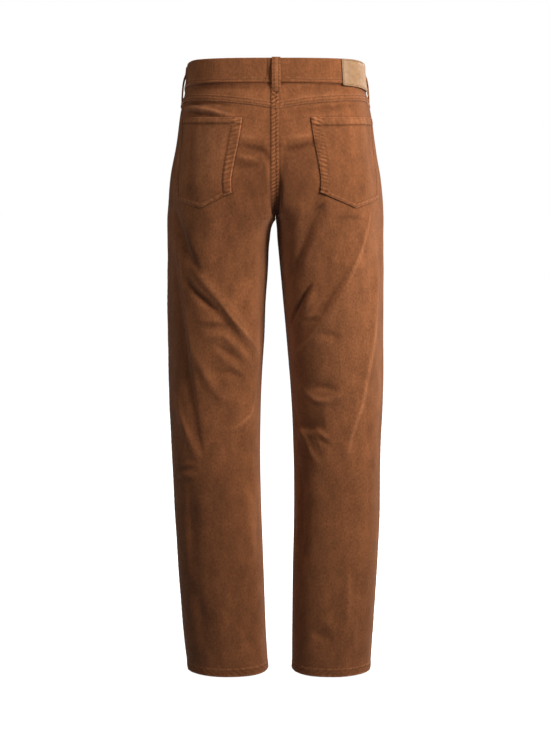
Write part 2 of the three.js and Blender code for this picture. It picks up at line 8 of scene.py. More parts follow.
import bpy
import numpy as np
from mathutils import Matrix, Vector


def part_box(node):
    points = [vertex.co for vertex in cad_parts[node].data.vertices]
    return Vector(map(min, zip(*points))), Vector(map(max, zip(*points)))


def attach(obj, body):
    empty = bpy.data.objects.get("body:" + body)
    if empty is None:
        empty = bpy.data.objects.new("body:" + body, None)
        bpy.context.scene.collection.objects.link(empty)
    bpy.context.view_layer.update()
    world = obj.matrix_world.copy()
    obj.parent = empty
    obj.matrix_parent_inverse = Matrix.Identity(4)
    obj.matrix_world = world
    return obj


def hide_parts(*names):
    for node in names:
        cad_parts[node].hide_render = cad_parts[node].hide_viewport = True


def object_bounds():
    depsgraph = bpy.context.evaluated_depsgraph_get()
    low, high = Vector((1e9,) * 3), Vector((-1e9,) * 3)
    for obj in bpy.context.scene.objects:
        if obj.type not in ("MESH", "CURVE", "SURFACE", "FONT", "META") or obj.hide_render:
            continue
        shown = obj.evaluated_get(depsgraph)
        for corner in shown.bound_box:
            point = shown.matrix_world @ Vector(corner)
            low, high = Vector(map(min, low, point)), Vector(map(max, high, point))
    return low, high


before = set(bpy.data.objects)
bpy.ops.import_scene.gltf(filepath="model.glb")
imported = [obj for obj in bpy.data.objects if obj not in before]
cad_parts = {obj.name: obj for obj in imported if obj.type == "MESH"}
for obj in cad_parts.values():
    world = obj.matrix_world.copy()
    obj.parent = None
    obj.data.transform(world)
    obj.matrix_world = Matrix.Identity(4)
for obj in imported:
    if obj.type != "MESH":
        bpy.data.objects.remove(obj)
cad_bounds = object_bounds()
MM = 0.001

# ---- Driving sizes, the same as the solids' ----
CLOTH = 1.6
SEAM_GAP = 0.3
HALF_GAP = SEAM_GAP / 2
BAND_HEIGHT = 41
BAND_PROUD = 1.7
BAND_THICK = 3
BAND_JOIN = 14 / 15  # share of the left back where the two waistband lengths meet
LAP_RAISE = 3.6
LAP_SHARE = (8 / 12, 10 / 12)  # shares of the left front between which its end rises
LAP_OVER = 18
LAP_UNDER = 34
CROTCH_Z = -269
CROTCH_SLOPE = {"left": -0.85, "right": -0.3}
HEM_Z = round(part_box("back_left")[0].z / MM)
HEM_TURN = 15
HEM_THICK = 3
FRONT_DIP = 25
DIP_START_Y = -80
DIP_END_Z = -200
WAIST_Z = -BAND_HEIGHT - SEAM_GAP
BAND_EDGE = -BAND_HEIGHT + 0.4  # the cloth's top, tucked into the waistband's rounded edge
SIDES = {"left": -1, "right": 1}
WALE = 1.7  # from one corduroy rib to the next
JOIN = 0.002  # what is left open between pieces sewn edge to edge


def table(names, *rows):
    """Columns of numbers by name, from rows of them."""
    return dict(zip(names.split(), np.array(rows, float).T))


BODY = table(
    "z outer peak_back peak_front inner_back inner_front back front mid square inner_square",
    (0, 151, 0, 0, -151, -151, -108, 104, 0, 2.9, 2.9),
    (-20, 153, 0, 0, -153, -153, -111, 106, 0, 2.8, 2.8),
    (-41, 156, 0, 0, -156, -156, -114, 108, 0, 2.7, 2.7),
    (-62, 161, 2, 0, -158, -160, -119, 110, -1, 2.6, 2.6),
    (-84, 166, 4, 1, -160, -164, -125, 112, -1, 2.45, 2.45),
    (-123, 171, 13, 4, -150, -164, -133, 115, -2, 2.3, 2.4),
    (-149, 175, 24, 9, -138, -160, -138, 117, -3, 2.25, 2.5),
    (-175, 180, 37, 18, -116, -150, -141, 118, -4, 2.2, 2.7),
    (-201, 184, 53, 32, -84, -126, -142, 117, -6, 2.2, 3.1),
    (-227, 187, 68, 50, -46, -78, -139, 113, -8, 2.15, 3.6),
    (-250, 189, 79, 67, -17, -28, -135, 107, -9, 2.1, 4.0),
    (CROTCH_Z, 190, 87, 80, HALF_GAP, HALF_GAP, -130, 101, -10, 2.1, 4.2),
)
LEGS = table(
    "z outer_left inner_left outer_right inner_right back front mid square inner_square",
    (CROTCH_Z, 190, HALF_GAP, 190, HALF_GAP, -130, 101, -10, 2.1, 4.2),
    (-306, 190, 11, 190, 4, -121, 94, -10, 2.1, 3.6),
    (-359, 191, 14, 191, 9, -111, 88, -10, 2.1, 3.1),
    (-412, 192, 18, 191, 14, -102, 84, -9, 2.1, 2.8),
    (-466, 192, 20, 192, 19, -93, 79, -7, 2.1, 2.6),
    (-575, 191, 26, 193, 28, -76, 69, -3, 2.1, 2.4),
    (-685, 188, 28, 190, 33, -68, 62, -2, 2.1, 2.3),
    (-796, 183, 26, 189, 34, -65, 56, -4, 2.1, 2.3),
    (-909, 177, 22, 185, 32, -61, 51, -5, 2.1, 2.3),
    (-1024, 170, 18, 179, 31, -57, 47, -4, 2.1, 2.3),
    (HEM_Z, 162, 14, 175, 31, -54, 46, -4, 2.1, 2.3),
)

# The pockets: distances round the back to their outer and inner corners, the width of the inner edge's
# double stitching at its top and bottom, the hem of the mouth, the puckers' pitch and the area laid flat.
POCKETS = {
    "left": {
        "top": (52, 186),
        "bottom": (84, 195),
        "band": (17, 13),
        "hem": 9.5,
        "pitch": 7.7,
        "area": 0.018,
    },
    "right": {
        "top": (40, 183),
        "bottom": (68, 194),
        "band": (20, 11),
        "hem": 12,
        "pitch": 6.7,
        "area": 0.0195,
    },
}
POCKET_TOP_Z = (-95, -99)  # at the outer and the inner corner
POCKET_BOTTOM_Z = (-232, -247, -221)  # at the outer corner, the point and the inner corner

# Folds run down the leg, or inwards when they lie level. Each has its height (below zero for a trough), its
# width on the upper or inseam side, its width on the lower or side-seam side, and the x and z of its path as
# seen from behind or in front.
FOLDS = {
    ("left", "back"): [
        # below the waistband and the yoke
        (-3.6, 3, 6, [(152, -46), (74, -48), (6, -48)]),
        (-2.6, 2.5, 4, [(156, -71), (130, -73), (104, -74), (60, -81)]),
        (3.2, 3.5, 5, [(158, -77), (136, -80), (112, -85), (70, -96)]),
        (-3.0, 3, 5, [(156, -88), (136, -89), (112, -93), (92, -96)]),
        (1.4, 4, 7, [(60, -58), (34, -63), (10, -62)]),
        (-1.6, 4, 6, [(120, -66), (84, -66), (44, -73)]),
        # down the pocket and the seat
        (-3.0, 8, 9, [(139, -112), (140, -180), (139, -243)]),
        (1.4, 7, 7, [(66, -130), (44, -130), (18, -133)]),
        (-2.2, 4, 7, [(68, -144), (44, -147), (26, -150), (15, -158), (11, -180)]),
        (1.8, 4, 6, [(70, -160), (50, -164), (28, -167)]),
        (-1.6, 6, 8, [(70, -180), (50, -178), (28, -176)]),
        (1.4, 3, 5, [(24, -156), (16, -176), (13, -206), (13, -240)]),
        # from the hip across the back of the thigh to the inner knee
        (-6.0, 10, 13, [(172, -246), (160, -293), (146, -332), (128, -362)]),
        (3.6, 12, 7, [(160, -318), (132, -359), (93, -407), (51, -464), (24, -508)]),
        (-4.6, 5, 7, [(154, -366), (139, -388), (119, -407), (100, -425)]),
        (-2.6, 6, 10, [(116, -410), (86, -442), (56, -482), (34, -512)]),
        # short folds behind the knee
        (1.6, 8, 5, [(136, -438), (110, -440), (86, -438)]),
        (-1.9, 5, 7, [(126, -455), (104, -450), (80, -454)]),
        (2.4, 6, 7, [(126, -472), (90, -466), (68, -484), (40, -524)]),
        (-2.0, 5, 6, [(106, -480), (85, -493), (56, -516)]),
        (1.7, 6, 7, [(105, -492), (86, -509), (55, -538)]),
        (-2.0, 8, 7, [(114, -532), (77, -534), (52, -546)]),
        (2.8, 12, 9, [(144, -490), (122, -536), (104, -566), (76, -590)]),
        (2.0, 4, 9, [(100, -638), (75, -634), (50, -618), (34, -592)]),
        # the long trough on the outer side, with a sharp lower end
        (-4.6, 7, 14, [
            (170, -330), (164, -400), (158, -474), (153, -528), (147, -581), (140, -626), (129, -682),
        ]),
        (1.8, 9, 3, [(171, -300), (166, -366), (158, -430), (150, -490), (146, -545)]),
        (3.0, 7, 10, [(176, -560), (168, -611), (152, -654), (136, -692)]),
        (1.3, 4, 4, [(178, -703), (158, -699), (138, -696)]),
        (-1.4, 4, 4, [(178, -713), (158, -709), (138, -706)]),
        (1.2, 4, 4, [(178, -723), (158, -720), (138, -717)]),
        (-1.2, 4, 4, [(176, -733), (156, -731), (138, -728)]),
        # the lower leg
        (2.6, 8, 13, [(36, -726), (40, -790), (42, -841), (44, -900)]),
        (-3.0, 15, 10, [(152, -730), (151, -810), (147, -905)]),
        (-2.2, 12, 12, [(146, -930), (132, -985), (128, -1030)]),
        (1.0, 12, 14, [(96, -940), (98, -990), (96, -1050)]),
    ],
    ("right", "back"): [
        (-3.4, 4, 7, [(122, -44), (59, -51), (8, -57)]),
        (2.2, 4, 7, [(112, -57), (70, -62), (14, -70)]),
        (-2.6, 3, 6, [(140, -76), (96, -82), (20, -93)]),
        (1.8, 4, 8, [(132, -88), (92, -93), (40, -101)]),
        (-1.4, 4, 7, [(120, -106), (90, -108), (64, -110)]),
        (1.6, 6, 6, [(70, -126), (44, -129), (16, -131)]),
        (-2.4, 5, 8, [(74, -138), (42, -145), (26, -148), (12, -153)]),
        (-1.4, 3, 6, [(14, -146), (12, -168), (11, -205)]),
        # drag lines from the side of the hip to the inner knee
        (3.2, 5, 18, [
            (164, -236), (157, -284), (141, -331), (127, -365),
            (104, -405), (84, -437), (52, -484), (26, -506),
        ]),
        (-2.6, 6, 10, [(120, -345), (104, -376), (85, -404), (62, -438), (38, -470)]),
        (1.6, 7, 5, [(98, -258), (76, -287), (63, -311), (46, -348)]),
        (1.2, 7, 5, [(124, -262), (107, -300), (94, -354)]),
        (-4.0, 7, 8, [(82, -240), (66, -262), (53, -290), (42, -322), (24, -372)]),
        (1.8, 6, 8, [(46, -236), (38, -270), (28, -306)]),
        (-5.5, 3.5, 5, [(63, -374), (50, -392), (40, -412), (26, -450)]),
        (2.0, 6, 4, [(70, -384), (58, -404), (46, -432)]),
        (1.2, 3, 3, [(80, -429), (62, -430), (46, -434)]),
        (-1.4, 3, 3.5, [(80, -440), (62, -440), (46, -443)]),
        (-2.0, 7, 8, [(112, -472), (92, -464), (70, -462)]),
        # behind the knee
        (-2.4, 9, 4, [(108, -563), (84, -560), (60, -560)]),
        (2.4, 5, 6, [(128, -572), (110, -575), (91, -582), (73, -582), (56, -571), (40, -556)]),
        (-5.0, 24, 5, [(88, -630), (66, -635), (34, -634)]),
        (3.0, 10, 5, [(38, -628), (54, -657), (65, -682), (80, -700)]),
        (1.6, 4, 4, [(94, -652), (82, -643), (68, -633)]),
        (-1.4, 4, 5, [(98, -664), (84, -656), (72, -650)]),
        (0.8, 3, 3, [(158, -706), (136, -722), (114, -742)]),
        # the long line down the outer side
        (4.2, 14, 20, [(180, -330), (172, -427), (168, -484), (151, -590), (130, -680)]),
        (1.6, 5, 3, [
            (178, -350), (172, -427), (168, -484), (159, -537), (151, -590), (136, -638), (128, -684),
        ]),
        # the lower leg
        (-4.0, 10, 16, [(44, -690), (46, -780), (45, -890)]),
        (1.3, 8, 4, [(130, -890), (131, -935), (131, -985)]),
        (1.7, 7, 4, [(143, -976), (144, -1010), (144, -1052)]),
        (-2.6, 12, 9, [(104, -1024), (84, -1017), (64, -1008)]),
        (1.0, 10, 10, [(84, -980), (96, -990), (112, -996)]),
    ],
    ("left", "front"): [
        (-4.1, 9, 13, [(128, -206), (80, -222), (30, -246)]),
        (-4.1, 9, 13, [(150, -268), (90, -270), (34, -282)]),
        (-2.4, 4, 9, [(92, -196), (50, -206), (12, -226)]),
        (-2.7, 4, 9, [(120, -236), (66, -246), (14, -262)]),
        (4.1, 12, 15, [(154, -330), (112, -360), (64, -402)]),
        (-2.2, 6, 12, [(150, -420), (110, -440), (60, -470)]),
        (-4.9, 9, 16, [(150, -586), (108, -560), (60, -548)]),
        (3.5, 12, 14, [(146, -636), (104, -612), (64, -600)]),
        (-3.0, 4, 9, [(128, -560), (92, -544), (52, -536)]),
        (-2.7, 4, 9, [(140, -604), (100, -586), (60, -578)]),
        (-1.9, 6, 10, [(150, -660), (110, -650), (70, -650)]),
        (-3.2, 10, 14, [(160, -420), (164, -520), (158, -640)]),
        (2.2, 8, 12, [(60, -700), (62, -800), (58, -920)]),
        (-1.9, 8, 12, [(120, -850), (84, -836), (50, -820)]),
        (-1.9, 8, 12, [(140, -980), (104, -986), (70, -1000)]),
    ],
    ("right", "front"): [
        (-4.1, 9, 13, [(122, -212), (78, -222), (30, -240)]),
        (-4.1, 9, 13, [(146, -272), (90, -266), (34, -276)]),
        (-2.4, 4, 9, [(86, -190), (48, -204), (12, -232)]),
        (-2.7, 4, 9, [(110, -250), (60, -252), (14, -268)]),
        (4.1, 12, 15, [(150, -340), (112, -362), (70, -396)]),
        (-2.2, 6, 12, [(156, -430), (116, -448), (70, -480)]),
        (-4.9, 9, 16, [(156, -580), (110, -562), (66, -560)]),
        (3.5, 12, 14, [(150, -628), (110, -614), (70, -608)]),
        (-3.0, 4, 9, [(132, -556), (96, -538), (60, -528)]),
        (-2.7, 4, 9, [(138, -596), (98, -586), (58, -584)]),
        (-1.9, 6, 10, [(156, -662), (116, -648), (76, -640)]),
        (-3.0, 10, 14, [(166, -440), (168, -540), (160, -650)]),
        (2.2, 8, 12, [(66, -690), (70, -800), (66, -930)]),
        (-1.9, 8, 12, [(130, -826), (96, -830), (60, -840)]),
        (-1.9, 8, 12, [(150, -1006), (114, -996), (80, -990)]),
    ],
}
# Thin lines of painted light and shade along creases, partly crushed pile: how light (or dark, below zero),
# width and path.
CREASE_LIGHT_AND_SHADE = {
    ("left", "back"): [
        (0.6, 1.9, [(102, -394), (93, -406), (71, -436), (51, -463), (28, -502)]),
        (-0.5, 2.0, [(98, -408), (86, -424), (66, -450)]),
        (-0.8, 3.0, [(150, -372), (139, -386), (119, -406), (104, -419)]),
        (-0.7, 6.0, [(160, -276), (150, -300), (141, -320), (132, -340), (124, -360)]),
        (-0.5, 2.2, [(172, -290), (167, -350), (160, -420), (152, -486), (147, -540)]),
        (0.45, 2.0, [(166, -300), (162, -350), (155, -420), (147, -486), (142, -540)]),
        (-0.5, 2.4, [(140, -108), (120, -110), (104, -109), (94, -113)]),
        (-0.6, 2.2, [(152, -71), (140, -73), (128, -76), (116, -79)]),
        (0.7, 2.6, [(150, -78), (136, -81), (112, -86), (84, -92), (66, -95)]),
        (-0.7, 2.2, [(150, -83), (140, -87), (130, -90), (120, -92)]),
        (0.35, 1.8, [(20, -210), (17, -230), (12, -252)]),
        (0.3, 1.8, [(30, -214), (27, -236), (20, -262)]),
        (-0.45, 4.0, [(62, -144), (37, -147), (21, -153), (10, -168)]),
        (0.35, 4.0, [(60, -130), (31, -132)]),
        (0.4, 4.0, [(64, -160), (48, -163), (30, -167)]),
        (-0.35, 4.0, [(60, -180), (44, -177), (26, -177)]),
        (0.6, 1.9, [(33, -560), (36, -587), (42, -607), (54, -620), (74, -631)]),
        (-0.6, 2.4, [(140, -620), (132, -650), (126, -676)]),
    ],
    ("right", "back"): [
        (1.0, 1.9, [(163, -240), (158, -272), (150, -305), (140, -334), (128, -360), (120, -380)]),
        (-0.7, 2.0, [(122, -356), (112, -372), (96, -398), (84, -420), (76, -434)]),
        (0.6, 1.9, [(92, -420), (80, -438), (60, -470), (34, -500)]),
        (-1.0, 3.2, [(62, -376), (54, -386), (42, -406), (32, -430)]),
        (0.6, 2.0, [(186, -236), (186, -300), (184, -360), (180, -410), (172, -480)]),
        (-0.6, 3.4, [(88, -234), (78, -242), (64, -250)]),
        (-0.5, 4.5, [(66, -139), (42, -145), (26, -148), (10, -152)]),
        (0.35, 4.0, [(64, -127), (42, -129), (12, -132)]),
        (-0.5, 3.0, [(98, -262), (130, -262), (154, -268)]),
        (0.8, 2.6, [(176, -400), (168, -484), (159, -537), (151, -590), (136, -638), (126, -690)]),
        (-0.6, 2.2, [(68, -642), (74, -660), (82, -684)]),
        (-0.6, 2.2, [(42, -684), (58, -687), (76, -684)]),
    ],
    ("left", "front"): [
        (0.5, 1.6, [(132, -344), (104, -366), (74, -394)]),
        (-0.5, 2.4, [(124, -566), (96, -552), (66, -546)]),
    ],
    ("right", "front"): [
        (0.5, 1.6, [(130, -350), (106, -366), (80, -390)]),
        (-0.5, 2.4, [(130, -566), (98, -556), (72, -554)]),
    ],
}

# Patches painted lighter (or darker, below zero), partly brushed pile and partly painted light and shade,
# such as the shaded seat, the lit inner edge of the left leg and the shadow behind the right knee: strength,
# x and z, half width and half height.
NAP_AND_PAINTED_SHADE_PATCHES = {
    ("left", "back"): [
        (0.6, 120, -160, 44, 60),
        (-0.4, 40, -190, 44, 60),
        (-0.3, 14, -250, 22, 40),
        (0.6, 20, -400, 12, 130),
        (0.6, 28, -610, 12, 150),
        (0.6, 24, -860, 12, 170),
        (0.3, 42, -810, 10, 100),
        (-0.3, 110, -800, 90, 130),
        (-0.3, 110, -1000, 90, 130),
    ],
    ("right", "back"): [
        (-0.12, 120, -150, 60, 60),
        (-0.45, 45, -190, 44, 56),
        (-0.25, 14, -246, 20, 40),
        (0.25, 160, -330, 30, 120),
        (0.35, 186, -460, 12, 260),
        (-0.2, 110, -1030, 90, 90),
        (0.2, 130, -480, 60, 110),
        (-0.5, 58, -660, 20, 26),
        (-0.3, 46, -780, 12, 110),
        (0.3, 138, -990, 12, 60),
    ],
    ("left", "front"): [(0.25, 100, -330, 60, 120), (-0.2, 30, -220, 30, 60)],
    ("right", "front"): [(0.25, 100, -330, 60, 120), (-0.2, 30, -220, 30, 60)],
}


# ---- Small helpers ----
def mix(a, b, t):
    """The value a share t of the way from a to b."""
    return a + (b - a) * t


def smooth(a, b, value):
    """From 0 at a to 1 at b by the cubic step 3t^2 - 2t^3."""
    t = np.clip((value - a) / (b - a), 0, 1)
    return t * t * (3 - 2 * t)


def signed_power(value, power):
    """|value|^power, with the sign of the value."""
    return np.sign(value) * np.abs(value) ** power


def bell(value, width):
    """A soft bump, exp(-(value / width)^2)."""
    return np.exp(-((value / width) ** 2))


def plateau(value, start, end, soft):
    """1 between start and end, falling to 0 over a distance soft on either side."""
    return smooth(start - soft, start, value) * (1 - smooth(end, end + soft, value))


def drift(u, v, seed):
    """Smooth uneven values from -1 to 1: random heights on a unit lattice, joined by cubic steps."""
    lattice = np.random.default_rng(seed).uniform(-1, 1, (64, 64))
    u, v = np.broadcast_arrays(u, v)
    i, j = np.floor(u).astype(int), np.floor(v).astype(int)
    s, t = smooth(0, 1, u - i), smooth(0, 1, v - j)
    i, j, k, m = i % 64, j % 64, (i + 1) % 64, (j + 1) % 64
    return mix(mix(lattice[i, j], lattice[k, j], s), mix(lattice[i, m], lattice[k, m], s), t)


# ---- The skin ----
def column_curve(rows, name, crotch_slope=None):
    """A curve down one column of a table: cubic pieces, with slopes taken from the rows on either side."""
    z, value = rows["z"], rows[name]
    index = np.arange(len(z))
    before, after = np.maximum(index - 1, 0), np.minimum(index + 1, len(z) - 1)
    slope = (value[after] - value[before]) / (z[after] - z[before])
    if crotch_slope is not None:
        slope[z == CROTCH_Z] = crotch_slope

    def at(height):
        """The curve's value at a height."""
        i = np.clip(np.searchsorted(-z, -height, side="right") - 1, 0, len(z) - 2)
        span = z[i + 1] - z[i]
        t = np.clip((height - z[i]) / span, 0, 1)
        rise = (3 - 2 * t) * t * t
        leave = t * (1 - t) ** 2 * span * slope[i]
        arrive = t * t * (t - 1) * span * slope[i + 1]
        return value[i] * (1 - rise) + value[i + 1] * rise + leave + arrive

    return at


def side_curves(side):
    """Every size of one half's rings as a curve of the height."""
    outer, inner = LEGS[f"outer_{side}"], LEGS[f"inner_{side}"]
    peak = (outer + inner) / 2
    legs = {**LEGS, "outer": outer, "inner": inner, "peak_back": peak, "peak_front": peak}
    names = ("z", "outer", "peak_back", "peak_front", "back", "front", "mid", "square", "inner_square")
    whole = {name: np.concatenate([BODY[name], legs[name][1:]]) for name in names}
    curves = {name: column_curve(whole, name) for name in names[1:]}
    slope = CROTCH_SLOPE[side]
    leg_inner = column_curve(legs, "inner", slope)
    for name in ("inner_back", "inner_front"):
        body_inner = column_curve(BODY, name, slope)
        curves[name] = lambda z, body=body_inner: np.where(z > CROTCH_Z, body(z), leg_inner(z))
    return curves


CURVES = {side: side_curves(side) for side in SIDES}


def ring_at(side, face, z):
    """A half ring's sizes at a height: peak, reach outwards and inwards, depth, middle and squareness."""
    curves = CURVES[side]
    peak, mid = curves[f"peak_{face}"](z), curves["mid"](z)
    reach = (curves["outer"](z) - peak, peak - curves[f"inner_{face}"](z))
    return peak, reach, curves[face](z) - mid, mid, (curves["square"](z), curves["inner_square"](z))


def skin(side, face, angle, z):
    """A point of the skin: x = peak + reach |cos|^(2/s), y = mid + depth |sin|^(2/s), and the front dips.

    The angle runs from 0 at the side seam, by a right angle at the peak, to pi at the inseam. The
    squareness s and the reach are the outer ones up to the peak and the inner ones from there.
    """
    peak, reach, depth, mid, square = ring_at(side, face, z)
    outwards = np.cos(angle) > 0
    power = 2 / np.where(outwards, *square)
    x = peak + np.where(outwards, *reach) * signed_power(np.cos(angle), power)
    y = mid + depth * np.abs(np.sin(angle)) ** power
    dip = FRONT_DIP * smooth(DIP_START_Y, 100, y) * smooth(DIP_END_Z, -BAND_HEIGHT, z)
    return np.stack(np.broadcast_arrays(x * SIDES[side], y, z - dip), axis=-1)


def skin_normal(side, face, angle, z):
    """The outward normal, the cross product of small steps round the ring and up it."""
    step = 0.01
    inside = np.clip(angle, step, np.pi - step)
    around = skin(side, face, inside + step, z) - skin(side, face, inside - step, z)
    up = skin(side, face, inside, z + 1) - skin(side, face, inside, z - 1)
    normal = np.cross(around, up)
    outwards = SIDES[side] * np.cos(inside) * normal[..., 0]
    outwards = outwards + np.sin(inside) * (1 if face == "front" else -1) * normal[..., 1]
    normal = normal * np.sign(outwards)[..., None]
    at_seam = (angle < step) | (angle > np.pi - step)
    normal[..., 1] = np.where(at_seam, 0, normal[..., 1])
    return normal / np.linalg.norm(normal, axis=-1, keepdims=True)


LEVELS = np.arange(HEM_Z - 2, 5.0)  # heights where the skin is measured round
ARC_STEPS = 160


def measure_round(side, face):
    """The distance round one half ring at every level, and the angle at even shares of that distance."""
    z = LEVELS[:, None]
    peak, reach, _, _, square = ring_at(side, face, z)
    ratio = np.clip((HALF_GAP - peak) / reach[1], -1, 1)
    end = np.where(z > CROTCH_Z, np.arccos(signed_power(ratio, square[1] / 2)), np.pi)
    shares = np.linspace(0, 1, ARC_STEPS + 1)
    angle = end * shares
    points = skin(side, face, angle, z)
    arc = np.cumsum(np.linalg.norm(np.diff(points, axis=1), axis=-1), axis=1)
    arc = np.concatenate([np.zeros_like(z), arc], axis=1)
    length = arc[:, -1]
    even = np.stack([np.interp(shares * far, a, t) for far, a, t in zip(length, arc, angle)])
    return {"length": length, "angle": even, "across": np.abs(points[..., 0]), "arc": arc}


RULERS = {(side, face): measure_round(side, face) for side in SIDES for face in ("back", "front")}


def length_round(side, face, z):
    """The distance round one face from the side seam to the centre seam or inseam."""
    return np.interp(z, LEVELS, RULERS[side, face]["length"])


def angle_round(side, face, distance, z):
    """The angle at a distance round and a height, read off the measured levels."""
    angles = RULERS[side, face]["angle"]
    share = np.clip(distance / length_round(side, face, z), 0, 1) * ARC_STEPS
    level = np.clip(z - LEVELS[0], 0, len(LEVELS) - 1.001)
    share, level = np.broadcast_arrays(share, level)
    i, j = level.astype(int), np.minimum(share.astype(int), ARC_STEPS - 1)
    u, v = level - i, share - j
    below = mix(angles[i, j], angles[i, j + 1], v)
    return mix(below, mix(angles[i + 1, j], angles[i + 1, j + 1], v), u)


def distance_across(side, face, x, z):
    """The distance round from the side seam to the place seen at x across and z up."""
    ruler = RULERS[side, face]
    level = int(np.clip(round(z - LEVELS[0]), 0, len(LEVELS) - 1))
    return np.interp(x, ruler["across"][level][::-1], ruler["arc"][level][::-1])


# ---- Folds ----
def smooth_path(points, steps=28):
    """Evenly listed points of a cubic curve through a few given ones."""
    points = np.array(points, float)
    run = np.concatenate([[0], np.cumsum(np.linalg.norm(np.diff(points, axis=0), axis=1))])
    slope = np.gradient(points, run, axis=0)
    at = np.linspace(0, run[-1], steps)
    i = np.clip(np.searchsorted(run, at, side="right") - 1, 0, len(run) - 2)
    span = (run[i + 1] - run[i])[:, None]
    t = (at - run[i])[:, None] / span
    rise = (3 - 2 * t) * t * t
    leave = t * (1 - t) ** 2 * span * slope[i]
    arrive = t * t * (t - 1) * span * slope[i + 1]
    return points[i] * (1 - rise) + points[i + 1] * rise + leave + arrive


def beside_path(path, distance, z):
    """Share along a path and signed distance from it, above zero on the upper or inseam side."""
    spot = np.stack([distance, z], axis=-1)[:, None]
    start, step = path[:-1], np.diff(path, axis=0)
    length = np.linalg.norm(step, axis=1)
    t = np.clip(((spot - start) * step).sum(-1) / length**2, 0, 1)
    off = spot - start - t[..., None] * step
    nearest = np.argmin((off**2).sum(-1), axis=1)
    row = np.arange(len(spot))
    off, step = off[row, nearest], step[nearest]
    side = np.sign(step[:, 0] * off[:, 1] - step[:, 1] * off[:, 0])
    return (nearest + t[row, nearest]) / len(length), side * np.linalg.norm(off, axis=1)


def fold_height(side, face, distance, z):
    """Height of the folds, sin(pi t)^0.7 along and a two-sided bell across, and how sharp they are, which is
    painted as light on the crests and shade in the troughs.
    """
    distance, z = np.broadcast_arrays(distance, z)
    height, crest_and_trough_shade = np.zeros(z.shape), np.zeros(z.shape)
    for tall, upper, lower, points in FOLDS[side, face]:
        path = smooth_path([(distance_across(side, face, x, level), level) for x, level in points])
        reach = 2.6 * max(upper, lower)
        low, high = path.min(axis=0) - reach, path.max(axis=0) + reach
        close = (distance > low[0]) & (distance < high[0]) & (z > low[1]) & (z < high[1])
        if not close.any():
            continue
        t, across = beside_path(path, distance[close], z[close])
        shape = np.sin(np.pi * t) ** 0.7 * bell(across, np.where(across > 0, upper, lower))
        height[close] += tall * shape
        crest_and_trough_shade[close] += tall / (upper + lower) * shape
    return height, crest_and_trough_shade


def pile_and_painted_shade(side, face, distance, z):
    """How much lighter or darker the cloth is painted along crease lines and over patches: painted light and
    shade, partly brushed or crushed pile.
    """
    distance, z = np.broadcast_arrays(distance, z)
    shade = np.zeros(z.shape)
    for strength, x, level, wide, tall in NAP_AND_PAINTED_SHADE_PATCHES[side, face]:
        away = (distance - distance_across(side, face, x, level)) / wide
        shade += strength * bell(np.hypot(away, (z - level) / tall), 1)
    for strength, width, points in CREASE_LIGHT_AND_SHADE[side, face]:
        path = smooth_path([(distance_across(side, face, x, level), level) for x, level in points])
        low, high = path.min(axis=0) - 3 * width, path.max(axis=0) + 3 * width
        close = (distance > low[0]) & (distance < high[0]) & (z > low[1]) & (z < high[1])
        if close.any():
            t, across = beside_path(path, distance[close], z[close])
            shade[close] += strength * np.sin(np.pi * t) ** 0.5 * bell(across, width)
    return shade


# How deep the two halves of the seat draw in towards the centre seam, at heights down it.
SEAT_VALLEY = table("z depth", (CROTCH_Z, 9.0), (-240, 6.0), (-200, 3.0), (-150, 1.0), (-110, 0.0))


def drape(side, face, distance, z):
    """Height of the cloth's folds and unevenness, and its painted light and shade, fold crests lighter and
    troughs darker with the painted crease lines and patches: both die away at the long seams.
    """
    edge = length_round(side, face, z) - distance
    seed = 11 + 2 * list(SIDES).index(side) + (face == "front")
    uneven = 0.7 * drift(distance / 46, z / 60, seed) + 0.35 * drift(distance / 17, z / 24, seed + 20)
    height, crest_and_trough_shade = fold_height(side, face, distance, z)
    seam_fade = smooth(0, 12, edge) * smooth(-2, 8, distance)
    below_band = 1 - smooth(-60, WAIST_Z, z)
    height = (height + uneven * below_band) * seam_fade
    if face == "back":
        depth = np.interp(z, SEAT_VALLEY["z"], SEAT_VALLEY["depth"]) * smooth(CROTCH_Z - 6, CROTCH_Z + 14, z)
        height = height - depth * (1 - smooth(6, 12, edge))
    # painted highlights on fold crests and painted shade in troughs, plus the painted crease lines and
    # patches
    fold_light_and_shade = np.clip(1.2 * crest_and_trough_shade, -0.4, 0.4) + pile_and_painted_shade(side, face, distance, z)
    return height, fold_light_and_shade * seam_fade


def place(side, w, z, lift=0.0, draped=True):
    """Points of the cloth's outer face and their normals, at (w, z) and lift out from the cloth.

    Near the centre seams the normals lean less to the side, so that the two halves meet and don't cross.
    """
    w, z, lift = np.broadcast_arrays(np.asarray(w, float), np.asarray(z, float), np.asarray(lift, float))
    points, normals = np.zeros(w.shape + (3,)), np.zeros(w.shape + (3,))
    for face, chosen in (("back", w >= 0), ("front", w < 0)):
        if not chosen.any():
            continue
        height = z[chosen]
        length = length_round(side, face, height)
        distance = np.minimum(np.abs(w[chosen]), length)
        angle = angle_round(side, face, distance, height)
        normal = skin_normal(side, face, angle, height)
        near_centre = bell(length - distance, 8) * smooth(CROTCH_Z - 2, CROTCH_Z + 6, height)
        normal[:, 0] *= 1 - near_centre
        out = lift[chosen] + (drape(side, face, distance, height)[0] if draped else 0)
        spot = skin(side, face, angle, height) + normal * out[:, None]
        spot[:, 0] -= SIDES[side] * (HALF_GAP - JOIN) * bell(length - distance, 2)
        points[chosen], normals[chosen] = spot, normal
    return points, normals


def rubbed_and_shaded(side, w, z):
    """How rubbed, and how painted light or shaded, the cloth's folds are at (w, z)."""
    w, z = np.broadcast_arrays(np.asarray(w, float), np.asarray(z, float))
    face = "back" if w.max() > 0 else "front"
    return drape(side, face, np.abs(w), z)[1]


